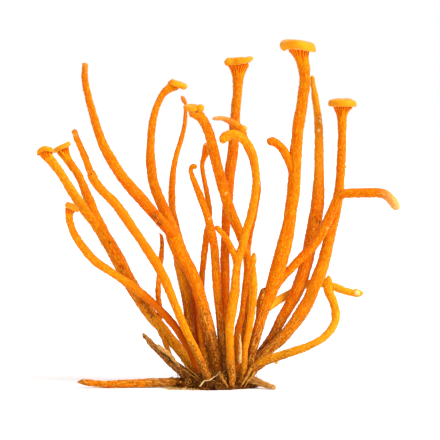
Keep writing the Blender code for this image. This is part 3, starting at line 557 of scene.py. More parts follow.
def matMaterial():
    finish = matFinish
    material, tree = newMaterial("matted_base_crumbly", dull)
    ease = partial(eased, tree)
    place = addNode(tree, "ShaderNodeTexCoord").outputs["Object"]
    large = grainNoise(tree, place, finish["largeSize"], 3.0)
    small = grainNoise(tree, place, finish["smallSize"], 3.0, 0.65)
    fine = grainNoise(tree, place, finish["fineSize"], 3.0)
    tone = mark(tree, "tone")
    colour = layered(tree, finish, finish["soil"], [
        (ease(large, 0.36, 0.60), "clod"),
        (ease(tone, 0.35, 0.60), "clod"),
        (ease(tone, 0.62, 0.80), "orange"),
        (ease(tone, 0.86, 1.00), "tan"),
        (ease(small, 0.30, 0.52, 0.85, 0.0), "black"),
        (ease(small, 0.60, 0.80, 0.0, 0.4), "tan")])
    wireShader(tree, {"Base Color": colour,
                      "Roughness": ease(small, 0.3, 0.7, *finish["roughness"]),
                      "Normal": relief(tree, fine, finish["height"], 0.8)})
    return material


# Threads, from brown over tan to white by their tone.
threadFinish = {
    "white": (0.78, 0.59, 0.25), "tan": (0.52, 0.215, 0.030), "brown": (0.14, 0.036, 0.004),
    "roughness": (0.5, 0.8), "softness": 0.1, "softScale": 0.0004,
    "smallSize": 0.7, "fineSize": 0.15, "height": 0.00002,
}


def threadMaterial():
    finish = threadFinish
    material, tree = newMaterial("mycelium_thread", {
        **dull, "Subsurface Weight": finish["softness"], "Subsurface Scale": finish["softScale"]})
    ease = partial(eased, tree)
    place = addNode(tree, "ShaderNodeTexCoord").outputs["Object"]
    small = grainNoise(tree, place, finish["smallSize"], 3.0)
    fine = grainNoise(tree, place, finish["fineSize"])
    tone = mark(tree, "tone")
    colour = layered(tree, finish, finish["brown"], [
        (ease(tone, 0.15, 0.45), "tan"),
        (ease(tone, 0.55, 0.85), "white"),
        (ease(small, 0.32, 0.55, 0.6, 0.0), "brown")])
    wireShader(tree, {"Base Color": colour,
                      "Roughness": ease(small, 0.3, 0.7, *finish["roughness"]),
                      "Normal": relief(tree, fine, finish["height"], 0.5)})
    return material


skins = {name: skinMaterial(name) for name in skinColours}
matSkin = matMaterial()
threadSkin = threadMaterial()
print("skins mixed")


absent = (1.0, 0.0, 0.0)            # the row of a colour that a stroma doesn't have

# How far the edge of each colour wanders up and down, mm.
unevenEdges = {"foot": 9.0, "shade": 0.0, "redness": 4.0, "golden": 3.0, "deepened": 3.0}

# How every stroma's skin is worked, mm; a stroma's own dictionary may change any of it.
stromaHabit = {
    "oval": 0.07,                   # share by which it is out of round
    "ovalSize": 9.0,                # length over which that changes
    "lump": 0.055,                  # share by which slow swellings follow each other
    "lumpSize": 4.6,
    "knobby": 0.070,                # small swellings
    "knobbySize": 1.35,
    "furrow": 0.070,                # lengthwise wrinkles
    "furrowSize": (0.62, 6.5),      # around and along the stem
    "footFurrow": 0.16,             # deeper wrinkles where the foot is brown
    "grain": 0.135,                 # round grains
    "grainSize": (0.90, 0.40),      # pitch and width
    "pit": 0.080,
    "pitSize": (2.30, 0.42),
    "fuller": 0.10,                 # evenly thicker than the solid
    "flare": (13.0, 3.0, 0.28),     # widens between these heights, by this share
    "sway": 0.10,                   # small bends of the whole stem, none at its ends
    "swaySize": 7.5,
    "swayEnds": 6.0,                # length over which they grow from each end
    "foot": (22.0, 6.0, 0.95),      # brown starts and is full at these heights, and how brown
    "shade": (19.0, 3.0, 0.75),     # painted shade: darker and redder low down, likewise
    "redness": absent,              # smooth red, likewise; on some stromata painted shade
    "golden": absent,               # lighter, yellower flesh, likewise
    "deepened": absent,             # deeper orange flesh, likewise
    "patchSize": 2.4,               # size of the patches that make those edges uneven
    "tip": (0.55, 2.0),             # rounded length in thicknesses, and how blunt
    "paleTip": (1.0, 0.0),          # length of a pale tip, and how pale
    "torn": 0.0,                    # raggedness of a broken tip
    "tornSize": 0.55,
    "tornReach": 1.6,               # length of it in thicknesses
    "tornPale": 0.8,                # how pale its broken flesh is
    "stains": [],                   # rows (middle, reach, how brown) along the length
    "spots": [],                    # rows (kind, across, up, size, how strong, how far raised)
    "knobs": [],                    # rows (across, up, depth, radius, how pale)
}

# The cap's outline from its throat over the rolled rim to the dished top, as shares of half its
# width and of its thickness, and the ridges beneath it.
capHabit = {
    "outline": [(0.60, -0.46), (0.70, -0.38), (0.80, -0.42), (0.89, -0.50), (0.955, -0.44),
                (0.992, -0.26), (1.0, -0.04), (0.98, 0.17), (0.92, 0.34), (0.81, 0.44), (0.66, 0.46),
                (0.48, 0.42), (0.25, 0.35), (0.03, 0.33)],
    "lip": 0.82,                    # share of half the width where the ridges end and the rim starts
    "paleLip": 0.25,
    "ridgePitch": 0.84,
    "ridgeDepth": 0.16,
    "ridgeRise": 0.3,               # their height, as a share of that depth
    "ridgeWander": 1.1,
    "fewestRidges": 9,
    "reach": (1.4, 4.6),            # shortest and longest groove down the throat
    "calmThroat": (5.0, 1.5),       # lengths below the cap where the grain starts to fade, and ends
    "rimEdge": (-0.25, 0.15),       # lengths past the lip where the rim starts, and is full
    "calmRim": 0.75,                # share of the relief that is gone on it
    "lobes": [],                    # rows (bearing, spread, outward, upward)
    "thinner": [],                  # rows (bearing, spread, by what share the rim is thinner there)
    "wave": 0.10,                   # share by which the rim goes up and down
    "waveRate": 1.6,
    "topHeight": 0.46,              # the outline's highest place
}


# Slow swellings, wrinkles, grains and pits of a skin, and the marks that they leave on it.  Each
# noise of a stroma has a seed of its own, counted on from the stroma's.
def skinRelief(points, ways, radius, along, seed, habit, calm):
    around, lengthwise = habit["furrowSize"]
    rough = 1 - calm
    lump = cloud(points / habit["lumpSize"], seed) - 0.5
    oval = cloud(ways * 1.15 + lengthPlaces(along, habit["ovalSize"]), seed + 1) - 0.5
    knobby = cloud(points / habit["knobbySize"], seed + 2) - 0.5
    turned = ways * radius[..., None]
    wrinkle = cloud(turned / around + lengthPlaces(along, lengthwise), seed + 3)
    furrow = 1.0 - np.abs(2.0 * wrinkle - 1.0) ** 0.7
    grain = bumps(points, *habit["grainSize"], seed + 4)
    pit = bumps(points, *habit["pitSize"], seed + 7)
    slender = np.minimum(1.0, radius / 0.9)
    lift = (radius * (2 * habit["lump"] * lump + 2 * habit["oval"] * oval)
            + slender * (2 * habit["knobby"] * knobby * (1 - 0.6 * calm)
                         - habit["furrow"] * furrow * rough
                         + habit["grain"] * grain * (1 - 0.95 * calm)
                         - habit["pit"] * pit * rough))
    marks = {"streak": furrow * rough, "grain": grain * rough, "calm": calm,
             "pit": smoothStep(0.35, 0.9, pit) * rough}
    return lift, marks


# Ridges and grooves under a cap; each groove runs its own way down the throat.
def capRidges(bearing, along, neck, count, habit, seed):
    circle = np.stack([np.cos(bearing) * 2.4, np.sin(bearing) * 2.4, along / 2.6], axis=-1)
    turn = bearing / (2 * math.pi) * count + habit["ridgeWander"] * (cloud(circle, seed) - 0.5)
    groove = np.round(turn).astype(np.int64)
    strength = scrambled(groove % count, groove * 0 + 3, groove * 0 + 1, seed + 5)
    shortest, longest = habit["reach"]
    length = shortest + (longest - shortest) * strength
    down = np.clip(neck - along, 0.0, None)
    fade = 1.0 - smoothStep(0.55, 1.0, down / length)
    width = 0.25 + 0.08 * strength
    off = np.abs(turn - groove)
    return smoothStep(width + 0.07, width - 0.07, off) * fade, smoothStep(0.34, 0.46, off) * fade


# Ragged spots on the side that is seen; returns how far they raise the skin.
def spotMarks(points, spots, centres, radii, seed, marks):
    lift = np.zeros(len(points))
    for row, (kind, across, up, size, amount, height) in enumerate(spots):
        seenAcross, _, seenUp = seenPlace(across, up, 0.0)
        nearest = int(np.argmin(np.hypot(centres[:, 0] - seenAcross, centres[:, 2] - seenUp)))
        radius, depth = radii[nearest], centres[nearest, 1]
        share = (eye["distance"] + depth) / eye["distance"]
        aside = eye["seenMiddle"][0] + (seenAcross - eye["seenMiddle"][0]) * share
        level = eye["aimHeight"] + (seenUp - eye["aimHeight"]) * share
        off = math.hypot(centres[nearest, 0] - aside, centres[nearest, 2] - level)
        out = min(1.0, off / radius)
        place = np.array((aside, depth - radius * math.sqrt(1 - out * out), level))
        ragged = 0.75 + 0.5 * cloud(points / (0.45 * size), seed + row)
        near = 1.0 - smoothStep(0.55, 1.15, np.linalg.norm(points - place, axis=1) / size / ragged)
        marks[kind] = np.maximum(marks.get(kind, np.zeros(len(points))), near * amount)
        lift += near * height
    return lift


# A round swelling that grows from a stroma.
def knobShell(across, up, depth, radius, pale, seed):
    rings, sides = meshing["knobRings"], meshing["knobSides"]
    ways = ballWays(rings, sides)
    middle = seenPlace(across, up, depth)
    swell = 1.0 + 0.22 * (cloud(ways * 1.3 + middle, seed) - 0.5)
    points = (middle + ways * radius * swell[..., None]).reshape(-1, 3)
    points = np.vstack([points, middle - (0, 0, radius), middle + (0, 0, radius)])
    total = np.ones(len(points))
    return {"points": points, "faces": closedFaces(rings, sides),
            "marks": {"rim": total * 0.9, "pale": total * pale}}


# The rings of a cap after its stem's last one.
def capRings(cap, centre, side, radius):
    habit = {**capHabit, **cap}
    axis = unit(np.array((*habit["lean"], 1.0)))
    middle = seenPlace(*habit["middle"])
    share = sightShare(habit["middle"][1], habit["middle"][2])
    half, thick = habit["halfWidth"] * share, habit["thick"] * share
    height = float((centre - middle) @ axis)
    aside = centre - middle - height * axis
    outline = [(radius, height, 0.0)] + [(half * out, thick * up, 0.0)
                                         for out, up in habit["outline"]
                                         if half * out > radius * 1.04 or up > -0.42]
    line, lengths = evenLine(outline, meshing["capStep"])
    reach = lengths / lengths[-1]
    slip = 1.0 - smoothStep(0.0, 0.45, reach)
    side = unit(side - (side @ axis) * axis)
    centres = middle + line[:, 1:2] * axis + aside * slip[:, None]
    return {"habit": habit, "axis": axis, "centre": middle, "centres": centres[1:],
            "radii": line[1:, 0], "side": side, "other": np.cross(axis, side), "reach": reach[1:],
            "lengths": lengths[1:], "half": half}


# Nearness to a bearing in degrees, gone beyond its spread.
def bearingNear(bearing, degrees, spread):
    off = np.angle(np.exp(1j * (bearing - math.radians(degrees))))
    return np.exp(-(off / math.radians(spread)) ** 2)


# Waves, lobes, ridges and rim of a cap, worked on its grid of rings.
def capRelief(grid, ways, wide, lengthwise, rings, length, seed):
    habit, axis = rings["habit"], rings["axis"]
    radius, reach = wide[:, 0], lengthwise[:, 0]
    bearing = np.arctan2(ways[..., 1], ways[..., 0])
    throatRings = len(radius) - len(rings["radii"])
    outlined = np.concatenate([np.zeros(throatRings), rings["reach"]])[:, None] + 0 * wide
    lipRing = throatRings + int(np.argmax(rings["radii"] > habit["lip"] * rings["half"]))
    pastLip = lengthwise - reach[lipRing]
    edge = smoothStep(*habit["rimEdge"], pastLip)
    share = np.clip(wide / rings["half"], 0.0, 1.0) ** 2 * smoothStep(0.0, 0.25, outlined)
    circle = np.stack([np.cos(bearing), np.sin(bearing), bearing * 0], axis=-1)
    wave = cloud(circle * habit["waveRate"] + seed % 17, seed + 21) - 0.5
    raised = habit["wave"] * 2 * wave * share * habit["thick"]
    outward = habit["wave"] * 0.6 * wave * share * rings["half"]
    for degrees, spread, outwards, upwards in habit["lobes"]:
        near = bearingNear(bearing, degrees, spread) * share
        raised = raised + near * upwards
        outward = outward + near * outwards
    overTop = habit["thick"] * habit["topHeight"] - (grid - rings["centre"]) @ axis
    for degrees, spread, less in habit["thinner"]:
        raised = raised + bearingNear(bearing, degrees, spread) * share * less * overTop
    grid = grid + raised[..., None] * axis + outward[..., None] * ways
    widest = float(np.median(radius[:max(2, throatRings)])) * 1.5
    ridges = max(habit["fewestRidges"], int(round(2 * math.pi * widest / habit["ridgePitch"])))
    groove, ridge = capRidges(bearing, lengthwise, length, ridges, habit, seed + 31)
    fading, calmed = habit["calmThroat"]
    calm = np.maximum(edge, smoothStep(length - fading, length - calmed, lengthwise))
    return grid, {"groove": groove * (1.0 - edge), "ridge": ridge * (1.0 - edge) * 0.85,
                  "rim": edge, "calm": calm, "lip": np.exp(-((pastLip - 0.25) / 0.28) ** 2)}


# The middle line of a stem with its radii, softly bent.
def stemLine(look, seed, lying):
    rows = np.array(look["route"], dtype=float)
    if lying:
        places = np.array([groundPlace(across, depth, lift + thick / 2)
                           for across, depth, lift, thick in rows])
        thickness = rows[:, 3]
    else:
        places = seenPlace(rows[:, 0], rows[:, 1], rows[:, 2])
        thickness = rows[:, 3] * sightShare(rows[:, 1], rows[:, 2])
        high, low, wider = look["flare"]
        thickness = thickness * (1.0 + wider * smoothStep(high, low, rows[:, 1]))
    thickness = thickness + 2 * look["fuller"]
    line, along = evenLine(np.column_stack([places, thickness]), meshing["alongStep"])
    centres, radii = line[:, :3], line[:, 3] / 2
    ends = look["swayEnds"]
    steady = smoothStep(0.0, ends, along) * smoothStep(0.0, ends, along[-1] - along)
    for axis in range(3):
        wander = cloud(lengthPlaces(along, look["swaySize"], axis * 5.3), seed + 11) - 0.5
        centres[:, axis] += look["sway"] * 2 * wander * steady
    if lying:
        centres[:, 2] = np.maximum(centres[:, 2], radii)
    return centres, radii, along


# Rings closer together where the tip is rounded off.
def roundedTip(centres, radii, along, tip):
    length = along[-1]
    rounding, blunt = tip[0] * (2 * radii[-1]), tip[1]
    body = along < length - rounding
    steps = np.linspace(0, math.pi / 2, meshing["tipRings"] + 1)[:-1]
    ends = np.append(length - rounding * (1 - np.sin(steps)), length - 0.004)
    wanted = np.concatenate([along[body], ends[ends > along[body][-1] + 0.05]])
    centres = np.stack([np.interp(wanted, along, column) for column in centres.T], axis=1)
    radii = np.interp(wanted, along, radii)
    share = np.clip((wanted - (length - rounding)) / rounding, 0.0, 1.0)
    radii = np.maximum(radii * (1.0 - share ** blunt) ** (1.0 / blunt), meshing["tipEnd"])
    return centres, radii, wanted


# How strong a colour is at each height, by its row in the look.
def heightMark(look, key, heights, patch):
    start, full, amount = look[key]
    return smoothStep(start, full, heights + unevenEdges[key] * patch) * amount


# The brown of the foot and of stains.
def brownMark(look, heights, lengthwise, patch):
    browned = heightMark(look, "foot", heights, patch)
    for centre, spread, stained in look["stains"]:
        off = np.abs(lengthwise - centre) + 4 * patch
        browned = np.maximum(browned, smoothStep(1.25, 0.55, off / spread) * stained)
    return browned


# A torn tip is ragged, its flesh pale in places and scarred in others.
def tornTip(grid, lengthwise, look, stem, marks):
    seed, length = stem["seed"], stem["length"]
    near = smoothStep(length - look["tornReach"] * stem["tipThickness"], length, lengthwise)
    marks["pale"] = near * smoothStep(0.35, 0.6, cloud(grid / 0.7, seed + 43)) * look["tornPale"]
    marks["scar"] = near * smoothStep(0.55, 0.8, cloud(grid / 0.6, seed + 44)) * 0.6
    return look["torn"] * near * (cloud(grid / look["tornSize"], seed + 41) - 0.45)


# One run of a stroma's rings as a shell, with its relief and its marks.
def runShell(run, look, stem):
    middle, side, other, radius, reach, sides, rings = run
    seed, length, tipThickness = stem["seed"], stem["length"], stem["tipThickness"]
    turn = bearings(sides)
    ways = ringWays(side, other, sides)
    grid = middle[:, None] + ways * radius[:, None, None]
    wide = np.repeat(radius[:, None], sides, axis=1)
    lengthwise = np.repeat(reach[:, None], sides, axis=1)
    cap = dict.fromkeys(("groove", "ridge", "rim", "calm"), np.zeros_like(wide))
    if rings:
        grid, cap = capRelief(grid, ways, wide, lengthwise, rings, length, seed)
    normals = gridNormals(grid)
    worked = np.minimum(wide, tipThickness) if rings else wide
    lift, marks = skinRelief(grid, ways, worked, lengthwise, seed, look, cap["calm"])
    if rings:
        habit = rings["habit"]
        depth = habit["ridgeDepth"]
        lift = lift * (1.0 - habit["calmRim"] * cap["rim"])
        lift = lift - depth * cap["groove"] + habit["ridgeRise"] * depth * cap["ridge"]
    elif look["torn"]:
        lift = lift + tornTip(grid, lengthwise, look, stem, marks)
    elif "cap" not in look:
        lift = lift * smoothStep(length + 0.01, length - 0.35 * tipThickness, lengthwise)

    # wrinkles are deeper where it is brown
    patch = cloud(grid / look["patchSize"], seed + 51) - 0.5
    browned = brownMark(look, grid[..., 2], lengthwise, patch)
    lift = lift - look["footFurrow"] * (marks["streak"] - 0.3) * browned * np.minimum(1.0, wide)
    grid = grid + normals * lift[..., None]

    for key in ("shade", "redness", "golden", "deepened"):
        marks[key] = heightMark(look, key, grid[..., 2], patch)
    marks.update(groove=cap["groove"], ridge=cap["ridge"], rim=cap["rim"],
                 brown=browned * (1 - cap["rim"]), aside=np.cos(turn) * wide,
                 facing=np.sin(turn) * wide, lengthwise=lengthwise)
    if rings:
        uneven = smoothStep(0.2, 0.6, cloud(grid / 1.3, seed + 61))
        marks["pale"] = cap["lip"] * habit["paleLip"] * uneven
    paleLength, amount = look["paleTip"]
    if amount:
        marks["pale"] = smoothStep(length - paleLength, length, lengthwise) * amount
    flat = grid.reshape(-1, 3)
    flatMarks = {key: value.reshape(-1) for key, value in marks.items()}
    raised = spotMarks(flat, look["spots"], stem["centres"], stem["radii"], seed + 71, flatMarks)
    return {"points": flat + normals.reshape(-1, 3) * raised[:, None],
            "faces": [gridFaces(len(radius), sides)], "marks": flatMarks}


# The rings of a stroma in one run, or in two where a cap and its throat have more sides.
def stromaRuns(look, rows, sides, length):
    if "cap" not in look:
        return [(*rows, sides, None)]
    centres, sideWays, _, radii, along = rows
    rings = capRings(look["cap"], centres[-1], sideWays[-1], radii[-1])
    count = len(rings["radii"])
    above = (rings["centres"], np.tile(rings["side"], (count, 1)),
             np.tile(rings["other"], (count, 1)), rings["radii"], length + rings["lengths"])
    throat = along > length - rings["habit"]["reach"][1] - 0.5
    lower = (values[~throat] for values in rows)
    upper = (np.concatenate([values[throat], more]) for values, more in zip(rows, above))
    return [(*lower, sides, None), (*upper, sides * meshing["capSides"], rings)]


# The runs joined into one skin, closed at the foot and at the top.
def closedBody(shells, sides, topSides):
    body = joined(shells)
    count = len(body["points"])
    topStart = count - topSides
    foot, top = body["points"][:sides].mean(axis=0), body["points"][topStart:].mean(axis=0)
    body["points"] = np.vstack([body["points"], foot, top])
    for key, values in body["marks"].items():
        body["marks"][key] = np.append(values, (values[0], values[topStart]))
    if len(shells) > 1:
        below = len(shells[0]["points"])
        body["faces"] += bridgeFaces(below - sides, sides, below, meshing["capSides"])
    body["faces"] += [poleFaces(0, sides, count, True), poleFaces(topStart, topSides, count + 1)]
    return body


def growStroma(name, look, lying=False):
    look = {**stromaHabit, **look}
    seed = sum(ord(letter) * (place + 3) for place, letter in enumerate(name))
    centres, radii, along = stemLine(look, seed, lying)
    length, tipThickness = along[-1], 2 * radii[-1]
    if "cap" not in look:
        centres, radii, along = roundedTip(centres, radii, along, look["tip"])
    usualThick = 2 * np.percentile(radii, 70 if "cap" in look else 80)
    sides = int(np.clip(round(math.pi * usualThick / meshing["aroundStep"]),
                        meshing["fewestSides"], meshing["mostSides"]))
    rows = (centres, *turnless(unit(np.gradient(centres, axis=0))), radii, along)
    runs = stromaRuns(look, rows, sides, length)
    stem = {"seed": seed, "length": length, "tipThickness": tipThickness, "centres": centres,
            "radii": radii}
    topSides = runs[-1][5]
    body = closedBody([runShell(run, look, stem) for run in runs], sides, topSides)
    if lying:
        body["points"][:, 2] = np.maximum(body["points"][:, 2], 0.0)
    knobs = [knobShell(*knob, seed + 81 + row) for row, knob in enumerate(look["knobs"])]
    makePiece(name + "_flesh", joined([body] + knobs), skins[look["skin"]], name)


# Outer trunk on the left, with its tilted cap.
outerLeftTrunk = {
    "skin": "orange_skin",
    "foot": (50.0, 24.0, 0.42), "shade": (7.0, 1.0, 0.5), "golden": (26.0, 16.0, 0.4),
    "route": [(-4.8, 2.0, 1.2, 2.2), (-7.1, 5.5, 1.3, 2.7), (-9.0, 8.5, 1.4, 2.9),
              (-11.2, 11.2, 1.5, 2.9), (-13.6, 14.0, 1.5, 3.0), (-15.9, 17.0, 1.5, 3.1),
              (-18.1, 19.6, 1.5, 3.3), (-20.2, 22.2, 1.5, 3.5), (-22.0, 25.0, 1.5, 3.6),
              (-24.2, 28.5, 1.6, 3.8), (-26.4, 32.5, 1.8, 3.8), (-28.3, 36.2, 2.0, 3.8),
              (-30.5, 40.3, 2.3, 3.7), (-32.6, 43.6, 2.6, 3.7), (-34.5, 47.3, 2.9, 3.6),
              (-35.7, 50.0, 3.2, 3.2), (-36.6, 53.0, 3.5, 2.7), (-37.9, 56.0, 3.8, 2.4),
              (-39.3, 59.5, 4.2, 2.2), (-40.6, 62.0, 4.5, 2.2), (-42.2, 64.2, 4.8, 2.3),
              (-43.6, 66.3, 5.0, 2.5), (-44.4, 67.8, 5.2, 3.4)],
    "cap": {"middle": (-44.9, 69.3, 5.4), "halfWidth": 2.7, "thick": 1.5, "lean": (-0.42, -0.05),
            "lobes": [(0, 40, 0.1, 0.35), (180, 45, 0.1, -0.3)], "reach": (0.9, 2.8)},
    "spots": [("dark", -31.0, 42.0, 0.4, 0.8, 0.0), ("scar", -27.4, 35.0, 0.9, 0.9, 0.05),
              ("scar", -28.0, 33.4, 1.2, 0.5, 0.0), ("scar", -23.2, 27.4, 1.1, 0.9, -0.05),
              ("scar", -22.0, 25.8, 1.2, 1.0, -0.1), ("scar", -20.8, 24.2, 1.2, 1.0, -0.1),
              ("scar", -19.7, 22.6, 1.1, 1.0, -0.1), ("scar", -18.7, 21.0, 0.9, 1.0, -0.05),
              ("dark", -20.9, 23.8, 0.4, 0.6, 0.0), ("dark", -19.0, 21.3, 0.5, 0.7, 0.0),
              ("dark", -18.1, 18.6, 0.3, 0.7, 0.0), ("dark", -16.7, 17.2, 0.3, 0.7, 0.0)],
}
growStroma("outer_left_trunk", outerLeftTrunk)

# Its long branch; the cap's rolled rim folds down on the left.
outerLeftBranch = {
    "skin": "bright_skin",
    "foot": absent,
    "route": [(-34.3, 45.4, 2.7, 2.4), (-36.0, 48.0, 1.7, 2.5), (-37.6, 50.1, 1.0, 2.6),
              (-39.1, 52.3, 0.4, 2.6), (-40.8, 54.7, -0.2, 2.6), (-42.6, 57.5, -0.9, 2.6),
              (-44.3, 60.2, -1.6, 2.5), (-46.1, 62.8, -2.2, 2.4), (-47.8, 65.1, -2.7, 2.5),
              (-49.0, 66.6, -3.0, 2.9), (-49.5, 67.4, -3.1, 3.3)],
    "cap": {"middle": (-49.7, 68.5, -3.2), "halfWidth": 2.45, "thick": 1.6, "lean": (-0.05, 0.22),
            "lobes": [(180, 55, 0.0, -0.9), (0, 50, 0.0, -0.25)], "paleLip": 0.0,
            "ridgeDepth": 0.1, "reach": (0.5, 1.5)},
}
growStroma("outer_left_branch", outerLeftBranch)

# Thin branch with dark spots under its tip.
thinSpottedBranch = {
    "skin": "red_skin",
    "foot": (30.0, 18.0, 0.55), "tip": (1.6, 1.3),
    "route": [(-16.8, 20.3, 1.6, 1.4), (-17.0, 23.5, 1.0, 1.5), (-17.3, 26.0, 0.8, 1.4),
              (-17.35, 28.5, 0.6, 1.6), (-17.3, 31.0, 0.5, 1.2), (-17.0, 34.0, 0.4, 1.2),
              (-16.6, 37.5, 0.3, 1.35), (-16.35, 40.0, 0.2, 1.2), (-16.25, 42.0, 0.1, 1.1),
              (-16.5, 43.8, 0.0, 0.9), (-17.1, 44.8, 0.0, 0.5)],
    "spots": [("dark", -16.3, 42.0, 0.34, 0.9, 0.0), ("dark", -16.3, 40.6, 0.32, 0.9, 0.0)],
}
growStroma("thin_spotted_branch", thinSpottedBranch)

# Low stroma on the left, its small cap hanging to the right.
lowLeftCappedStroma = {
    "skin": "bright_skin",
    # Its smooth red lower stem and its darker foot are painted shade.
    "foot": (7.0, 2.0, 0.8), "redness": (34.0, 20.0, 0.85), "shade": (26.0, 8.0, 0.8),
    "route": [(-4.6, 2.0, -2.4, 1.3), (-6.6, 6.0, -2.6, 1.3), (-7.4, 9.0, -2.5, 1.4),
              (-8.6, 11.6, -2.4, 1.5), (-10.0, 14.0, -2.4, 1.8), (-12.0, 17.3, -2.4, 2.1),
              (-14.0, 19.7, -2.4, 2.2), (-16.2, 22.1, -2.4, 2.1), (-18.4, 24.3, -2.4, 2.0),
              (-21.0, 26.5, -2.5, 2.2), (-24.0, 28.9, -2.6, 2.4), (-27.0, 31.1, -2.8, 2.3),
              (-30.3, 33.3, -3.0, 2.05), (-32.3, 34.5, -3.2, 2.1), (-34.6, 36.0, -3.4, 2.2),
              (-36.8, 38.0, -3.6, 2.25), (-38.4, 40.0, -3.8, 2.1), (-39.9, 42.0, -4.0, 2.1),
              (-41.2, 44.1, -4.2, 2.0), (-42.1, 46.1, -4.4, 1.95), (-42.7, 48.1, -4.6, 2.0),
              (-42.85, 50.0, -4.7, 2.1), (-42.6, 51.2, -4.8, 2.7)],
    "cap": {"middle": (-42.0, 52.3, -4.9), "halfWidth": 2.05, "thick": 1.4, "lean": (0.42, -0.1),
            "lobes": [(0, 50, 0.2, -0.45)], "ridgeDepth": 0.1, "reach": (0.4, 1.3)},
}
growStroma("low_left_capped_stroma", lowLeftCappedStroma)

# Bright stroma with a crack below its tip.
brightLeftStroma = {
    "skin": "bright_skin",
    "foot": (16.0, 5.0, 0.9), "shade": (17.0, 5.0, 0.9), "deepened": (20.0, 31.0, 0.55),
    "tip": (0.35, 3.0), "torn": 0.16,
    "route": [(-2.4, 1.5, -5.4, 1.4), (-3.6, 4.0, -5.9, 1.6), (-4.6, 6.5, -5.6, 1.8),
              (-5.7, 9.2, -5.2, 1.9), (-6.8, 11.5, -4.9, 2.0), (-8.1, 14.2, -4.6, 2.0),
              (-9.5, 17.0, -4.4, 2.1), (-10.9, 20.0, -4.3, 2.2), (-12.1, 23.0, -4.2, 2.3),
              (-13.4, 26.3, -4.2, 2.3), (-14.8, 30.0, -4.4, 2.5), (-16.5, 33.5, -4.6, 2.6),
              (-18.2, 36.5, -4.9, 2.7), (-20.3, 39.7, -5.3, 2.7), (-22.5, 43.0, -5.8, 2.6),
              (-24.9, 46.4, -6.4, 2.6), (-27.6, 50.3, -7.0, 2.6), (-30.1, 53.4, -7.5, 2.5),
              (-33.1, 56.5, -8.2, 2.5), (-35.3, 59.3, -8.8, 2.6), (-36.1, 60.8, -9.0, 2.7),
              (-36.5, 61.7, -9.1, 2.5), (-36.8, 62.2, -9.2, 1.7), (-37.1, 63.0, -9.3, 2.0),
              (-38.0, 65.2, -9.6, 1.9), (-39.5, 69.0, -10.0, 1.7), (-40.8, 72.0, -10.4, 1.6),
              (-41.5, 74.2, -10.6, 1.3)],
    "spots": [("scar", -36.3, 62.1, 0.45, 1.0, -0.15), ("scar", -37.3, 62.1, 0.40, 1.0, -0.15),
              ("pale", -36.9, 61.7, 0.22, 0.8, 0.10), ("pale", -36.0, 61.9, 0.20, 0.7, 0.08),
              ("pale", -37.2, 63.1, 0.20, 0.6, 0.05), ("scar", -35.6, 60.4, 0.5, 0.6, 0.0),
              ("scar", -36.6, 63.6, 0.5, 0.5, 0.0), ("pale", -41.3, 74.0, 0.6, 0.6, 0.0),
              ("pale", -13.0, 24.3, 0.2, 0.7, 0.05)],
}
growStroma("bright_left_stroma", brightLeftStroma)

# Left trunk that arches over to a cap seen on its edge.
leftArchedStroma = {
    "skin": "orange_skin",
    "foot": (32.0, 9.0, 0.92), "shade": (20.0, 9.0, 1.0),
    "route": [(0.4, 2.0, -2.2, 2.5), (-0.1, 4.0, -2.2, 2.8), (-0.9, 8.0, -2.0, 3.1),
              (-1.8, 12.0, -1.9, 3.3), (-2.6, 16.0, -1.8, 3.3), (-3.5, 20.0, -1.6, 3.4),
              (-4.3, 23.0, -1.5, 3.3), (-5.2, 26.0, -1.4, 3.2), (-6.4, 30.0, -1.2, 3.4),
              (-8.3, 34.0, -1.0, 3.6), (-10.1, 37.0, -1.0, 3.9), (-11.6, 40.0, -1.0, 4.3),
              (-13.0, 44.0, -1.0, 4.1), (-14.4, 48.0, -0.8, 3.5), (-16.1, 52.0, -0.5, 3.1),
              (-17.7, 56.0, 0.0, 3.0), (-18.9, 60.0, 0.5, 2.75), (-19.7, 66.0, 1.2, 2.5),
              (-19.6, 70.0, 1.8, 2.25), (-19.0, 76.0, 2.8, 2.1), (-18.1, 80.0, 3.5, 1.85),
              (-17.3, 82.0, 3.9, 1.75), (-16.3, 84.0, 4.3, 1.8), (-15.1, 85.4, 4.6, 2.2),
              (-13.9, 86.3, 4.9, 2.6), (-12.9, 86.9, 5.1, 3.2)],
    "cap": {"middle": (-11.5, 87.2, 5.2), "halfWidth": 2.6, "thick": 1.6, "lean": (0.38, -0.1),
            "lobes": [(180, 50, -0.1, 0.15), (0, 40, 0.1, -0.2)], "ridgeDepth": 0.08,
            "reach": (0.4, 1.4), "paleLip": 0.1},
    "spots": [("scar", -1.9, 16.5, 0.5, 0.9, 0.15), ("dark", -1.9, 16.5, 0.25, 0.7, 0.0)],
}
growStroma("left_arched_stroma", leftArchedStroma)

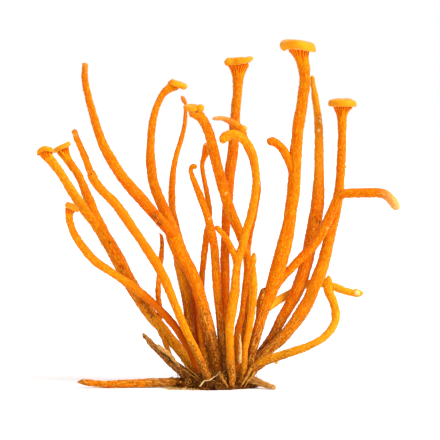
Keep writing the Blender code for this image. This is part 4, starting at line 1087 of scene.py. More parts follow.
# The tall branch of that trunk, scarred where it forks.
leftTallStroma = {
    "skin": "orange_skin",
    "foot": absent, "redness": (120.0, 110.0, 0.15), "deepened": (62.0, 50.0, 0.4),
    "tip": (0.28, 3.2), "torn": 0.16, "tornPale": 0.2,
    "route": [(-12.4, 43.4, -1.0, 2.8), (-13.9, 45.2, -2.2, 3.0), (-15.8, 47.2, -3.1, 3.1),
              (-18.6, 50.2, -4.1, 3.1), (-22.0, 54.1, -5.5, 3.1), (-27.0, 59.9, -7.5, 2.95),
              (-31.0, 66.0, -9.5, 2.75), (-33.9, 72.0, -11.0, 2.5), (-36.3, 80.0, -12.5, 2.0),
              (-37.4, 84.0, -13.2, 1.8), (-38.2, 88.0, -13.8, 1.65), (-38.3, 91.0, -14.1, 1.55),
              (-38.2, 93.3, -14.3, 1.4)],
    "spots": [("scar", -18.2, 50.0, 1.7, 0.9, 0.10), ("scar", -16.7, 48.0, 1.2, 1.0, 0.06),
              ("dark", -16.6, 47.6, 0.35, 0.5, 0.05), ("pale", -16.9, 48.2, 0.25, 0.8, 0.1),
              ("pale", -17.9, 48.3, 0.22, 0.7, 0.08), ("pale", -17.4, 49.6, 0.2, 0.6, 0.08),
              ("dark", -38.2, 93.9, 0.35, 0.7, 0.0)],
}
growStroma("left_tall_stroma", leftTallStroma)

# Dark strand that joins it from the base.
leftDarkStrand = {
    "skin": "dark_skin",
    "foot": (24.0, 8.0, 0.5), "shade": (12.0, 3.0, 0.4), "golden": (20.0, 33.0, 0.5),
    "route": [(-4.6, 2.0, -0.1, 1.9), (-5.8, 8.0, 0.0, 1.9), (-7.2, 12.0, 0.5, 2.1),
              (-8.2, 16.0, 1.0, 2.3), (-8.6, 20.0, 1.3, 2.5), (-8.9, 24.0, 1.6, 2.7),
              (-9.5, 28.0, 1.8, 2.9), (-10.4, 32.0, 1.8, 2.9), (-11.4, 35.8, 1.4, 2.7),
              (-12.0, 39.0, 0.2, 2.2)],
}
growStroma("left_dark_strand", leftDarkStrand)

# Thin stroma behind them.
thinBackStroma = {
    "skin": "orange_skin",
    # Its smooth red and its darker foot are painted shade, as it stands behind the others.
    "foot": (9.0, 3.0, 0.85), "redness": (44.0, 26.0, 0.7), "shade": (26.0, 8.0, 0.7),
    "tip": (1.0, 1.8),
    "route": [(-4.0, 2.0, 4.0, 1.2), (-5.6, 8.0, 4.2, 1.2), (-6.2, 14.0, 4.2, 1.3),
              (-6.5, 18.0, 4.2, 1.4), (-6.9, 22.0, 4.2, 1.5), (-7.7, 27.0, 4.2, 1.5),
              (-9.2, 35.0, 4.4, 1.6), (-11.0, 42.0, 4.6, 1.7), (-12.6, 48.0, 4.8, 1.8),
              (-13.3, 52.0, 5.0, 1.8), (-13.3, 58.0, 5.4, 1.8), (-12.8, 64.0, 6.0, 1.6),
              (-11.7, 68.5, 6.5, 1.3), (-10.7, 72.0, 7.0, 1.2), (-9.8, 76.0, 7.5, 1.05),
              (-9.5, 79.6, 8.0, 0.95), (-9.45, 81.4, 8.3, 0.65), (-9.85, 82.3, 8.4, 1.0),
              (-10.3, 83.2, 8.5, 1.05), (-10.65, 84.0, 8.6, 0.75)],
    "paleTip": (2.6, 0.25),
}
growStroma("thin_back_stroma", thinBackStroma)

# Dark strand between the stub and the outer trunk.
lowerLeftStrand = {
    "skin": "dark_skin",
    "foot": (18.0, 10.0, 0.3), "shade": (9.0, 1.0, 0.3), "golden": (0.0, 1.0, 0.3),
    "knobby": 0.2,
    "route": [(-13.7, 7.8, -2.2, 1.1), (-14.0, 9.4, -1.6, 1.2), (-14.6, 11.3, -1.0, 1.2),
              (-15.3, 13.1, -0.5, 1.3), (-16.1, 15.0, 0.1, 1.4), (-16.8, 16.9, 1.0, 1.4)],
}
growStroma("lower_left_strand", lowerLeftStrand)

# Brown stub broken off on the left.
brokenLeftStub = {
    "skin": "brown_skin",
    "foot": (22.0, 9.0, 1.0), "tip": (0.9, 1.4), "torn": 0.45, "tornPale": 0.25,
    "knobby": 0.22, "grain": 0.16,
    "route": [(-7.6, 2.4, -1.8, 2.4), (-10.0, 4.8, -2.2, 2.3), (-12.0, 6.3, -2.3, 2.2),
              (-14.0, 7.9, -2.4, 2.0), (-16.0, 9.7, -2.5, 1.8), (-18.0, 11.8, -2.6, 1.7),
              (-20.0, 13.8, -2.7, 1.6), (-21.8, 16.0, -2.8, 1.1)],
}
growStroma("broken_left_stub", brokenLeftStub)
print("left side grown")


# Strand that ends in a small flare.
smallCappedStrand = {
    "skin": "orange_skin",
    "foot": (20.0, 6.0, 0.6), "tip": (0.35, 2.8),
    "route": [(-2.5, 2.0, -1.4, 1.6), (-3.3, 6.0, -1.5, 1.9), (-4.1, 10.0, -1.2, 1.9),
              (-4.9, 14.0, -0.6, 1.8), (-5.3, 18.0, 0.5, 1.7), (-5.4, 22.0, 1.8, 1.6),
              (-5.1, 27.0, 2.4, 1.6), (-4.9, 32.0, 2.4, 1.5), (-4.6, 36.0, 2.2, 1.6),
              (-4.15, 40.0, 1.9, 1.7), (-3.75, 43.5, 1.7, 1.7), (-3.2, 47.0, 1.6, 1.6),
              (-2.85, 50.0, 1.5, 1.5), (-2.9, 53.0, 1.5, 1.5), (-3.4, 56.0, 1.6, 1.35),
              (-3.95, 58.5, 1.7, 1.2), (-4.5, 61.0, 1.8, 1.15), (-4.85, 63.5, 1.9, 1.05),
              (-4.7, 65.2, 1.9, 1.2), (-4.2, 66.7, 1.8, 1.7), (-3.7, 68.2, 1.6, 2.3),
              (-3.4, 69.5, 1.5, 2.5), (-3.2, 70.4, 1.4, 2.1)],
    "spots": [("pale", -4.1, 69.9, 0.5, 0.7, 0.0), ("scar", -4.0, 67.4, 0.6, 0.4, 0.0)],
}
growStroma("small_capped_strand", smallCappedStrand)

# Small stroma with a hooked tip.
smallHookedStroma = {
    "skin": "orange_skin",
    "foot": (34.0, 10.0, 0.9), "shade": (17.0, 6.0, 1.0),
    "route": [(1.2, 2.0, 0.5, 1.4), (1.1, 6.0, 0.5, 1.5), (0.8, 10.0, 0.4, 1.6),
              (0.5, 14.0, 0.2, 1.7), (0.2, 18.0, 0.0, 1.9), (0.0, 22.0, -0.2, 2.0),
              (-0.3, 26.0, -0.4, 2.2), (-0.5, 30.0, -0.6, 2.3), (-0.8, 34.0, -0.8, 2.3),
              (-1.1, 38.0, -1.0, 2.3), (-1.4, 41.0, -1.2, 2.3), (-2.0, 44.0, -1.4, 2.3),
              (-2.7, 47.0, -1.6, 2.2), (-3.4, 49.5, -1.8, 2.0), (-4.2, 52.0, -2.1, 1.9),
              (-5.2, 54.8, -2.5, 1.9), (-6.1, 57.0, -2.9, 1.8), (-7.0, 59.2, -3.4, 1.6),
              (-7.7, 61.0, -3.7, 1.35), (-8.05, 62.4, -4.0, 1.2), (-7.8, 63.4, -4.2, 1.25),
              (-7.1, 63.8, -4.3, 1.25), (-6.5, 63.1, -4.4, 1.2)],
    "spots": [("pale", -2.8, 49.0, 0.32, 0.9, 0.05)],
}
growStroma("small_hooked_stroma", smallHookedStroma)

# Stroma leaning left, with a ragged lip and a knob on its right.
middleLeaningStroma = {
    "skin": "orange_skin",
    "foot": (30.0, 8.0, 0.35), "shade": (7.0, 1.0, 0.5),
    "route": [(5.2, 2.0, -0.5, 2.0), (5.3, 6.0, -0.5, 2.1), (5.2, 10.0, -0.4, 2.1),
              (5.3, 14.0, -0.3, 2.0), (5.6, 17.5, 0.0, 1.8), (6.3, 20.5, 0.3, 1.5),
              (6.8, 24.0, 0.4, 1.3), (7.3, 28.0, 0.5, 1.6), (7.8, 31.0, 0.5, 1.9),
              (8.1, 34.0, 0.5, 2.0), (8.0, 38.0, 0.4, 2.3), (7.2, 41.0, 0.3, 2.4),
              (6.0, 44.2, 0.0, 2.5), (4.5, 48.0, -0.5, 2.7), (2.9, 52.0, -1.1, 2.9),
              (1.6, 56.0, -1.7, 3.0), (0.5, 60.0, -2.4, 3.0), (-0.5, 64.0, -3.2, 3.0),
              (-1.4, 68.0, -4.0, 3.0), (-2.4, 72.0, -4.8, 2.8), (-3.8, 75.7, -5.6, 2.6),
              (-5.1, 77.7, -6.1, 2.8), (-6.2, 78.7, -6.3, 3.2), (-6.9, 79.4, -6.4, 3.9)],
    "cap": {"middle": (-7.7, 80.5, -6.5), "halfWidth": 2.2, "thick": 1.5, "lean": (0.06, -0.35),
            "lobes": [(186, 40, 0.4, 0.15), (290, 30, -0.1, 0.0)], "paleLip": 0.2,
            "ridgeDepth": 0.04, "reach": (0.3, 0.7)},
    "knobs": [(-5.35, 80.35, -6.9, 1.12, 0.0)],
    "spots": [("pale", -9.5, 80.9, 0.35, 0.5, 0.04), ("pale", -8.8, 80.6, 0.3, 0.5, 0.04),
              ("pale", -8.0, 79.9, 0.3, 0.7, 0.04), ("pale", -7.3, 80.5, 0.25, 0.4, 0.04),
              # The faint dark spot at (-3, 68.5) is painted shade.
              ("pale", 2.0, 56.2, 0.45, 0.5, 0.0), ("dark", -3.0, 68.5, 0.9, 0.3, 0.0)],
}
growStroma("middle_leaning_stroma", middleLeaningStroma)

# Bright stroma in front, hooked over at the top.
frontHookedStroma = {
    "skin": "bright_skin",
    "foot": (17.0, 2.0, 0.9), "shade": (17.0, 2.0, 0.85), "flare": (9.0, 3.0, 0.12),
    "route": [(3.5, 0.9, -7.9, 0.8), (3.6, 2.2, -7.3, 1.4), (3.7, 4.2, -6.3, 1.9),
              (3.35, 8.0, -5.0, 2.3), (3.2, 12.0, -4.2, 2.25), (3.1, 16.0, -3.7, 2.3),
              (3.4, 20.0, -3.5, 2.5),
              (3.9, 24.0, -3.4, 2.5), (4.5, 28.0, -3.5, 2.5), (4.7, 31.0, -3.6, 2.4),
              (5.0, 34.0, -3.8, 2.2), (5.7, 38.0, -4.2, 2.2), (7.0, 42.0, -4.6, 2.2),
              (8.0, 46.0, -5.0, 2.1), (9.2, 50.0, -5.4, 2.0), (10.0, 54.0, -5.8, 2.0),
              (10.5, 58.0, -6.3, 2.0), (10.6, 62.0, -6.9, 2.0), (10.0, 66.0, -7.5, 2.1),
              (9.1, 68.4, -8.0, 2.2), (7.9, 70.4, -8.4, 2.4), (6.3, 71.9, -8.7, 2.6),
              (4.5, 72.7, -9.1, 2.7), (2.8, 72.6, -9.4, 2.6), (1.5, 71.9, -9.7, 2.5),
              (0.8, 70.3, -9.9, 2.3)],
    "spots": [("pale", 11.4, 59.5, 0.4, 0.5, 0.1)],
}
growStroma("front_hooked_stroma", frontHookedStroma)

# Its side branch.
frontSideBranch = {
    "skin": "orange_skin",
    "foot": absent, "tip": (0.7, 2.0),
    "route": [(5.1, 35.5, -3.9, 1.8), (4.5, 38.2, -4.4, 1.9), (3.6, 40.3, -4.7, 1.9),
              (2.5, 42.4, -4.9, 1.8), (1.3, 44.2, -5.1, 1.7), (0.1, 45.5, -5.3, 1.55),
              (-1.1, 46.7, -5.5, 1.3)],
}
growStroma("front_side_branch", frontSideBranch)

# Red capped stroma in the middle, with a round lobe on its left.
middleCappedStroma = {
    "skin": "red_skin",
    "foot": (27.0, 12.0, 0.85), "shade": (16.0, 5.0, 0.9), "deepened": (72.0, 54.0, 0.3),
    "route": [(1.5, 2.0, 3.4, 1.6), (1.4, 8.0, 3.4, 1.6), (1.5, 14.0, 3.3, 1.8),
              (1.6, 20.0, 3.2, 2.0), (1.8, 26.0, 3.1, 2.3), (1.75, 32.0, 3.0, 2.5),
              (1.7, 38.0, 3.0, 2.5), (1.9, 44.0, 3.1, 2.3), (2.2, 50.0, 3.4, 2.6),
              (2.7, 56.0, 3.8, 2.9), (3.2, 62.0, 4.4, 3.0), (3.8, 67.0, 5.0, 3.1),
              (4.2, 72.0, 5.6, 3.0), (4.45, 76.0, 6.0, 2.7), (4.7, 80.0, 6.4, 2.5),
              (5.1, 84.0, 6.8, 2.4), (5.35, 88.0, 7.2, 2.8), (5.4, 90.3, 7.4, 3.7),
              (5.45, 91.6, 7.5, 4.7), (5.45, 92.5, 7.5, 5.8)],
    "cap": {"middle": (5.7, 93.9, 7.6), "halfWidth": 3.9, "thick": 2.2, "lean": (-0.05, -0.05),
            "lobes": [(0, 50, 0.15, 0.0), (180, 35, -0.3, -0.3), (245, 16, -0.6, -0.2)],
            "thinner": [(0, 60, 0.45)], "paleLip": 0.4},
    "knobs": [(2.7, 93.55, 6.3, 1.2, 0.0)],
    "spots": [("pale", 2.7, 24.3, 0.35, 0.7, 0.05), ("pale", 2.0, 12.4, 0.32, 1.0, 0.1)],
}
growStroma("middle_capped_stroma", middleCappedStroma)

# Stroma with a long curling tip and a small pale knob.
curlTippedStroma = {
    "skin": "orange_skin",
    # Its brown foot, reaching above 30 mm, is partly painted shade where it stands behind the front
    # stems.
    "foot": (31.0, 16.0, 0.6), "shade": (14.0, 3.0, 0.6), "tip": (1.0, 2.0),
    "paleTip": (8.0, 0.3),
    "route": [(6.6, 2.0, 2.8, 1.4), (6.9, 8.0, 3.1, 1.4), (7.0, 14.0, 3.2, 1.4),
              (7.3, 19.0, 3.3, 1.5), (7.7, 23.0, 3.4, 1.6), (8.1, 27.0, 3.5, 1.7),
              (8.3, 31.0, 3.6, 1.8), (8.3, 35.0, 3.6, 1.8), (8.1, 39.0, 3.4, 1.8),
              (8.4, 43.0, 2.8, 1.9), (9.2, 47.0, 1.5, 2.0), (10.2, 51.0, 0.0, 2.0),
              (10.8, 55.0, -1.2, 2.0), (10.9, 58.0, -2.0, 2.0), (10.4, 62.0, -3.0, 1.9),
              (9.4, 66.0, -4.0, 1.9), (8.2, 69.2, -4.8, 2.0), (7.2, 71.8, -5.3, 2.1),
              (6.6, 73.6, -5.6, 2.2), (5.5, 75.0, -5.8, 2.2), (4.3, 75.9, -5.9, 2.0),
              (2.7, 76.9, -6.0, 1.6), (0.7, 77.5, -6.2, 1.2), (-1.9, 77.3, -6.4, 0.9)],
    "knobs": [(7.2, 74.6, -5.7, 0.9, 0.25)],
    "spots": [("pale", -1.9, 77.3, 0.45, 0.45, 0.0)],
}
growStroma("curl_tipped_stroma", curlTippedStroma)

# Short stroma with a torn tip.
tornTipStroma = {
    "skin": "bright_skin",
    "foot": (15.0, 3.0, 0.9), "shade": (15.0, 4.0, 0.9), "tip": (0.9, 1.6), "torn": 0.34,
    "route": [(6.2, 2.0, -4.4, 1.3), (7.0, 5.0, -4.6, 1.4), (7.2, 8.0, -4.4, 1.5),
              (7.45, 11.5, -4.1, 1.5), (8.1, 14.5, -4.0, 1.7), (8.7, 17.5, -4.0, 1.8),
              (9.15, 20.5, -4.1, 1.9), (9.45, 23.5, -4.3, 2.0), (9.75, 27.0, -4.5, 2.1),
              (9.9, 30.0, -4.7, 2.0), (9.8, 33.0, -4.8, 1.8), (9.7, 35.5, -4.9, 1.6),
              (9.95, 37.4, -5.0, 1.6), (10.15, 39.2, -5.1, 1.3)],
    "spots": [("scar", 9.9, 38.9, 0.55, 0.7, 0.0)],
}
growStroma("torn_tip_stroma", tornTipStroma)
print("middle grown")


# The tallest trunk, with the widest cap.
tallestCappedStroma = {
    "skin": "orange_skin",
    "foot": (28.0, 9.0, 0.85),
    "route": [(7.0, 2.0, -0.8, 2.1), (8.0, 5.0, -0.8, 2.3), (8.7, 8.0, -0.9, 2.5),
              (9.6, 11.5, -1.0, 2.7), (10.6, 15.0, -1.1, 2.9), (11.4, 18.0, -1.2, 3.0),
              (12.2, 21.0, -1.3, 3.2), (13.2, 24.0, -1.4, 3.4), (14.9, 28.0, -1.6, 3.7),
              (16.1, 32.0, -1.8, 4.0), (17.3, 36.0, -2.0, 4.1), (18.3, 40.0, -2.2, 4.2),
              (19.2, 44.0, -2.4, 4.0), (20.0, 48.0, -2.6, 3.6), (20.6, 52.0, -2.8, 3.5),
              (21.15, 56.0, -3.0, 3.6), (21.5, 60.0, -3.3, 3.6), (21.7, 64.0, -3.6, 3.6),
              (22.0, 68.0, -3.9, 3.3), (22.35, 72.0, -4.2, 3.1), (22.75, 76.0, -4.5, 3.2),
              (23.3, 79.5, -4.8, 3.1), (23.8, 83.0, -5.1, 2.9), (24.3, 86.0, -5.3, 3.1),
              (24.55, 88.5, -5.5, 2.9), (24.4, 91.0, -5.7, 3.1), (24.0, 93.5, -5.9, 3.4),
              (23.7, 94.9, -6.0, 3.9), (23.5, 96.1, -6.1, 4.9), (23.4, 96.9, -6.1, 6.3)],
    "cap": {"middle": (22.5, 98.6, -6.2), "halfWidth": 5.1, "thick": 2.7, "lean": (0.11, -0.08),
            "lobes": [(180, 40, 0.1, -0.7), (205, 14, -0.1, -0.6), (0, 35, 0.0, -0.6)],
            "paleLip": 0.9},
    "spots": [("scar", 19.2, 98.5, 1.0, 0.28, 0.0)],
}
growStroma("tallest_capped_stroma", tallestCappedStroma)

# Its short side branch, curled over to the left.
tallestSideBranch = {
    "skin": "orange_skin",
    "foot": absent, "tip": (0.5, 2.4),
    "route": [(21.3, 61.2, -3.4, 2.2), (20.2, 64.8, -3.9, 2.4), (19.1, 67.2, -4.2, 2.4),
              (17.8, 69.1, -4.5, 2.3), (16.4, 70.4, -4.8, 2.3), (15.1, 70.9, -5.1, 2.3),
              (13.9, 70.3, -5.3, 2.0)],
    "spots": [("pale", 14.3, 69.5, 0.4, 0.6, 0.05), ("dark", 14.0, 70.4, 0.7, 0.35, 0.0)],
}
growStroma("tallest_side_branch", tallestSideBranch)

# Broken brown stub on its side.
brokenSideStub = {
    "skin": "orange_skin",
    "foot": (60.0, 50.0, 0.75), "tip": (0.55, 1.7), "torn": 0.12, "tornPale": 0.0,
    "route": [(11.0, 15.5, -0.4, 1.8), (11.3, 18.0, -0.5, 2.0), (11.7, 20.5, -0.7, 2.2),
              (12.0, 23.0, -0.9, 2.5), (12.4, 25.5, -1.1, 2.8), (13.0, 27.4, -1.2, 2.8),
              (13.8, 29.1, -1.3, 2.3)],
}
growStroma("broken_side_stub", brokenSideStub)

# Arm that bends out flat to the right.
rightArmStroma = {
    "skin": "orange_skin",
    "foot": (36.0, 20.0, 0.6), "paleTip": (9.0, 0.52),
    "route": [(14.7, 26.9, -1.5, 2.0), (16.0, 28.9, -0.5, 2.0), (17.3, 30.8, 0.2, 2.1),
              (18.8, 32.6, 0.8, 2.2), (20.3, 34.2, 1.1, 2.3), (22.0, 36.0, 1.2, 2.5),
              (24.0, 38.0, 1.2, 2.7), (25.8, 39.9, 1.2, 2.8), (27.4, 41.9, 1.1, 2.8),
              (29.0, 44.3, 0.9, 2.7), (30.4, 46.9, 0.5, 2.6), (31.7, 49.6, 0.1, 2.5),
              (32.8, 52.2, -0.3, 2.4), (33.8, 54.4, -0.7, 2.4), (35.2, 55.8, -1.1, 2.5),
              (37.2, 56.1, -1.6, 2.6), (40.0, 56.15, -2.2, 2.6), (43.0, 56.25, -2.8, 2.55),
              (45.8, 56.2, -3.3, 2.5), (47.5, 55.7, -3.6, 2.5), (48.8, 54.7, -3.9, 2.5),
              (49.8, 53.5, -4.1, 2.5), (50.4, 52.3, -4.2, 2.4), (50.6, 51.2, -4.2, 2.1)],
    # The two scars at its bend, near (34, 55), are painted shade in the crease.
    "spots": [("pale", 30.8, 46.0, 0.35, 0.7, 0.0), ("scar", 34.3, 55.0, 0.6, 0.55, 0.0),
              ("scar", 33.1, 53.6, 0.5, 0.45, 0.0), ("pale", 50.9, 52.0, 0.8, 0.5, 0.0)],
}
growStroma("right_arm_stroma", rightArmStroma)

# Branch that droops to the right, with a pale collar at its end.
rightDroopingBranch = {
    "skin": "bright_skin",
    "foot": (22.0, 16.0, 0.2), "golden": (0.0, 1.0, 0.45), "tip": (0.8, 1.7),
    "route": [(12.6, 21.8, -1.3, 1.8), (13.4, 22.8, 0.2, 1.9), (14.6, 23.8, 1.7, 2.0),
              (16.2, 25.0, 4.0, 2.1), (18.3, 26.3, 6.4, 2.1), (20.5, 27.7, 7.7, 2.0),
              (22.6, 28.9, 8.1, 2.1), (24.8, 29.9, 8.0, 2.2), (27.5, 30.5, 7.4, 2.3),
              (30.0, 30.2, 6.6, 2.3), (32.2, 29.5, 5.9, 2.3), (34.2, 28.8, 5.4, 2.2),
              (36.2, 28.1, 5.0, 2.0), (38.0, 27.65, 4.7, 1.9), (39.2, 27.55, 4.5, 2.2),
              (40.3, 27.5, 4.3, 1.9), (41.3, 27.5, 4.2, 1.5)],
    "spots": [("pale", 39.3, 27.6, 0.95, 0.9, 0.05)],
}
growStroma("right_drooping_branch", rightDroopingBranch)

# Red stroma behind, without a cap.
rightPlainStroma = {
    "skin": "red_skin",
    # Its lighter, yellower upper stem is painted light, lifting the shadow that the right cap casts on
    # it.
    "foot": (27.0, 9.0, 0.85), "golden": (52.0, 62.0, 0.42),
    "shade": (20.0, 8.0, 0.75), "tip": (0.7, 2.0),
    "route": [(6.0, 3.2, 3.6, 1.8), (8.0, 5.2, 4.9, 1.9), (10.3, 8.2, 4.9, 2.0),
              (12.2, 11.0, 4.5, 2.1), (14.0, 13.5, 4.2, 2.3), (15.7, 16.0, 4.1, 2.5),
              (17.2, 18.8, 4.0, 2.8), (18.6, 21.3, 4.0, 2.9), (20.1, 24.0, 4.0, 3.0),
              (21.6, 26.8, 4.1, 3.3), (22.9, 29.6, 4.3, 3.6), (23.9, 32.4, 4.5, 3.7),
              (24.9, 36.0, 4.8, 3.6), (25.8, 40.0, 5.2, 3.5), (26.6, 44.0, 5.6, 3.6),
              (27.4, 48.0, 6.0, 3.8), (28.0, 52.0, 6.4, 3.7), (28.35, 56.0, 6.8, 3.4),
              (28.5, 60.0, 7.2, 2.8), (28.6, 64.0, 7.7, 2.6), (28.65, 68.0, 8.2, 2.5),
              (28.65, 72.0, 8.7, 2.4), (28.5, 76.0, 9.2, 2.2), (28.05, 80.0, 9.8, 1.9),
              (27.4, 84.0, 10.4, 1.8), (26.9, 87.0, 10.9, 1.4), (26.6, 89.7, 11.2, 1.2)],
    "spots": [("scar", 27.8, 48.0, 1.2, 0.7, 0.0), ("dark", 28.5, 47.6, 0.45, 0.8, 0.05),
              ("dark", 27.2, 49.0, 0.35, 0.7, 0.05), ("scar", 28.2, 50.4, 0.7, 0.4, 0.0),
              ("pale", 26.8, 45.6, 0.3, 0.7, 0.05), ("pale", 28.7, 76.9, 0.5, 0.8, 0.05),
              ("pale", 28.8, 75.9, 0.55, 0.9, 0.05), ("pale", 29.1, 75.1, 0.5, 0.8, 0.05),
              ("pale", 28.3, 73.3, 0.5, 1.0, 0.08), ("pale", 26.6, 89.6, 0.4, 0.3, 0.0)],
}
growStroma("right_plain_stroma", rightPlainStroma)

# Capped trunk on the right.
rightCappedStroma = {
    "skin": "orange_skin",
    "foot": (27.0, 8.0, 0.8), "shade": (13.0, 3.0, 0.7), "golden": (42.0, 33.0, 0.15),
    "route": [(7.0, 2.0, 2.2, 2.1), (9.3, 6.0, 2.0, 2.4), (10.9, 8.0, 1.7, 2.6),
              (12.8, 10.0, 1.4, 2.7), (15.0, 12.0, 1.3, 2.8), (17.2, 14.0, 1.3, 3.0),
              (19.0, 16.0, 1.3, 3.1), (20.6, 18.0, 1.3, 3.2), (22.2, 20.0, 1.4, 3.4),
              (23.8, 22.3, 1.6, 3.5), (25.1, 24.5, 1.8, 3.4), (26.2, 26.7, 2.0, 3.4),
              (27.3, 29.3, 2.3, 3.5), (28.5, 32.0, 2.6, 3.6), (29.4, 34.5, 2.8, 3.5),
              (30.2, 37.3, 3.1, 3.4), (30.9, 40.2, 3.4, 3.2), (31.6, 43.4, 3.7, 3.0),
              (32.4, 46.7, 4.0, 2.9), (33.2, 50.0, 4.2, 2.9), (33.8, 53.5, 4.4, 3.0),
              (34.4, 57.5, 4.6, 2.8), (34.75, 61.5, 4.9, 2.5), (35.0, 66.0, 5.3, 2.4),
              (35.1, 70.0, 5.7, 2.2), (35.1, 74.0, 6.1, 2.2), (35.1, 77.0, 6.3, 2.5),
              (35.15, 78.7, 6.5, 3.3), (35.2, 79.9, 6.6, 4.5), (35.3, 80.7, 6.6, 5.7)],
    "cap": {"middle": (35.4, 82.0, 6.7), "halfWidth": 4.05, "thick": 2.1, "lean": (0.03, -0.06),
            "lobes": [(0, 45, 0.0, -0.25), (60, 25, 0.0, 0.35), (110, 20, 0.0, 0.25),
                      (180, 35, 0.1, -0.35)], "paleLip": 0.4},
    "knobs": [(36.2, 63.6, 4.9, 0.32, 0.2)],
}
growStroma("right_capped_stroma", rightCappedStroma)

# Low stroma that swings out to the right and up.
rightCurvedStroma = {
    "skin": "bright_skin",
    "foot": (15.0, 5.0, 0.85), "tip": (0.9, 1.7), "golden": (24.0, 19.0, 0.4),
    "knobs": [(16.4, 7.75, -4.3, 0.55, 0.25), (32.2, 21.6, -3.4, 0.3, 0.2)],
    "route": [(7.4, 2.2, -2.6, 1.8), (9.9, 6.0, -3.6, 2.2), (11.8, 7.5, -3.9, 2.3),
              (13.8, 8.5, -4.1, 2.2), (16.2, 9.2, -4.3, 2.1), (19.0, 10.1, -4.6, 2.1),
              (22.0, 11.1, -4.9, 2.2), (25.0, 12.2, -5.1, 2.1), (27.6, 13.5, -5.1, 2.1),
              (29.7, 14.8, -4.9, 2.1), (31.3, 16.3, -4.6, 2.1), (32.6, 18.2, -4.2, 2.1),
              (33.35, 20.0, -3.8, 2.1), (33.45, 22.0, -3.4, 2.2), (33.0, 24.2, -3.0, 2.2),
              (32.2, 26.1, -2.7, 2.3), (31.4, 27.8, -2.5, 2.5), (31.0, 29.6, -2.4, 2.5),
              (31.2, 31.2, -2.4, 2.3), (31.45, 32.6, -2.4, 1.9)],
}
growStroma("right_curved_stroma", rightCurvedStroma)
print("right side grown")


# Stroma lying on the ground to the left.
fallenStroma = {
    "skin": "orange_skin",
    "foot": absent, "shade": (20.0, 10.0, 0.18), "golden": (0.0, 1.0, 0.15),
    "tip": (1.6, 1.6), "stains": [(0.0, 16.0, 1.0), (17.0, 14.0, 0.45), (34.0, 5.0, 0.7)],
    "route": [(-8.0, -1.0, 0.1, 2.6), (-12.0, -1.4, 0.1, 2.6), (-16.0, -1.8, 0.1, 2.5),
              (-20.0, -2.2, 0.1, 2.5), (-24.0, -2.6, 0.1, 2.2), (-28.0, -3.0, 0.1, 2.05),
              (-32.0, -3.4, 0.1, 2.0), (-35.0, -3.7, 0.5, 1.8), (-38.0, -4.0, 0.9, 1.7),
              (-40.4, -4.3, 1.3, 1.0)],
}
growStroma("fallen_stroma", fallenStroma, lying=True)

# Brown root on the ground to the right.
groundRoot = {
    "skin": "brown_skin",
    "foot": absent, "shade": absent, "stains": [(0.0, 6.0, 0.5)],
    "golden": (0.0, 1.0, 0.12), "tip": (0.6, 2.2), "torn": 0.2, "tornPale": 0.5, "knobby": 0.16,
    "route": [(6.5, -3.4, 1.2, 2.4), (8.7, -4.0, 1.4, 2.3), (10.6, -4.7, 1.2, 2.0),
              (12.4, -5.5, 0.7, 1.7), (14.4, -6.5, 0.2, 1.4), (16.0, -7.4, 0.0, 1.2)],
}
growStroma("ground_root", groundRoot, lying=True)
print("fallen pieces laid")


# The matted base: a lumpy mound, cut flat on the ground and covered in clods and crumbs, mm.
mattedBase = {
    "centre": (-1.3, 0.0), "radii": (11.6, 8.2, 4.2), "fullness": 2.1,
    "lump": 0.16, "lumpPitch": 2.6, "lumpStart": (3.1, 0.0, 1.7),
    "segments": 340, "rings": 96,
    "clod": 0.95, "clodSize": 1.9,
    "crumb": 0.30, "crumbSize": (1.15, 0.55),   # pitch and width
    "grit": 0.26, "gritSize": 0.55,
    "crease": 0.55, "creaseSize": 2.6,
    "flatFoot": 1.2,                            # height below which the relief fades
    "loose": 240, "looseSize": (0.22, 0.85), "looseRings": 7, "looseSides": 10, "seed": 7,
}


# Points of the mound towards a bearing and a height angle, raised by lift.
def moundPlace(bearing, rise, lift=0.0):
    habit = mattedBase
    bearing, rise, lift = np.broadcast_arrays(bearing, rise, lift)
    ways = np.stack([np.cos(rise) * np.cos(bearing), np.cos(rise) * np.sin(bearing),
                     np.sin(rise)], axis=-1)
    power = habit["fullness"]
    full = (np.hypot(ways[..., 0], ways[..., 1]) ** power
            + np.abs(ways[..., 2]) ** power) ** (-1 / power)
    start = Vector(habit["lumpStart"])
    lumps = np.array([noise.noise(Vector(way) * habit["lumpPitch"] + start)
                      for way in ways.reshape(-1, 3)]).reshape(full.shape)
    size = (1.0 + habit["lump"] * lumps)[..., None] * np.array(habit["radii"])
    places = ways * full[..., None] * (size + lift[..., None])
    return places + groundPlace(*habit["centre"], 0.0)


# A loose crumb, turned about the upright and tilted by twice as much.
def crumbShell(middle, radii, turn, tone, seed):
    rings, sides = mattedBase["looseRings"], mattedBase["looseSides"]
    ways = np.vstack([ballWays(rings, sides).reshape(-1, 3), (0, 0, -1), (0, 0, 1)])
    rough = 0.62 + 0.76 * cloud(ways * 1.5 + 9.7 * seed, seed)
    spin = np.array(((math.cos(turn), -math.sin(turn), 0), (math.sin(turn), math.cos(turn), 0),
                     (0, 0, 1)))
    tilt = np.array(((1, 0, 0), (0, math.cos(2 * turn), -math.sin(2 * turn)),
                     (0, math.sin(2 * turn), math.cos(2 * turn))))
    points = middle + (ways * rough[:, None] * np.array(radii)) @ (spin @ tilt).T
    points[:, 2] = np.maximum(points[:, 2], 0.0)
    return {"points": points, "faces": closedFaces(rings, sides),
            "marks": {"tone": np.full(len(points), tone)}}


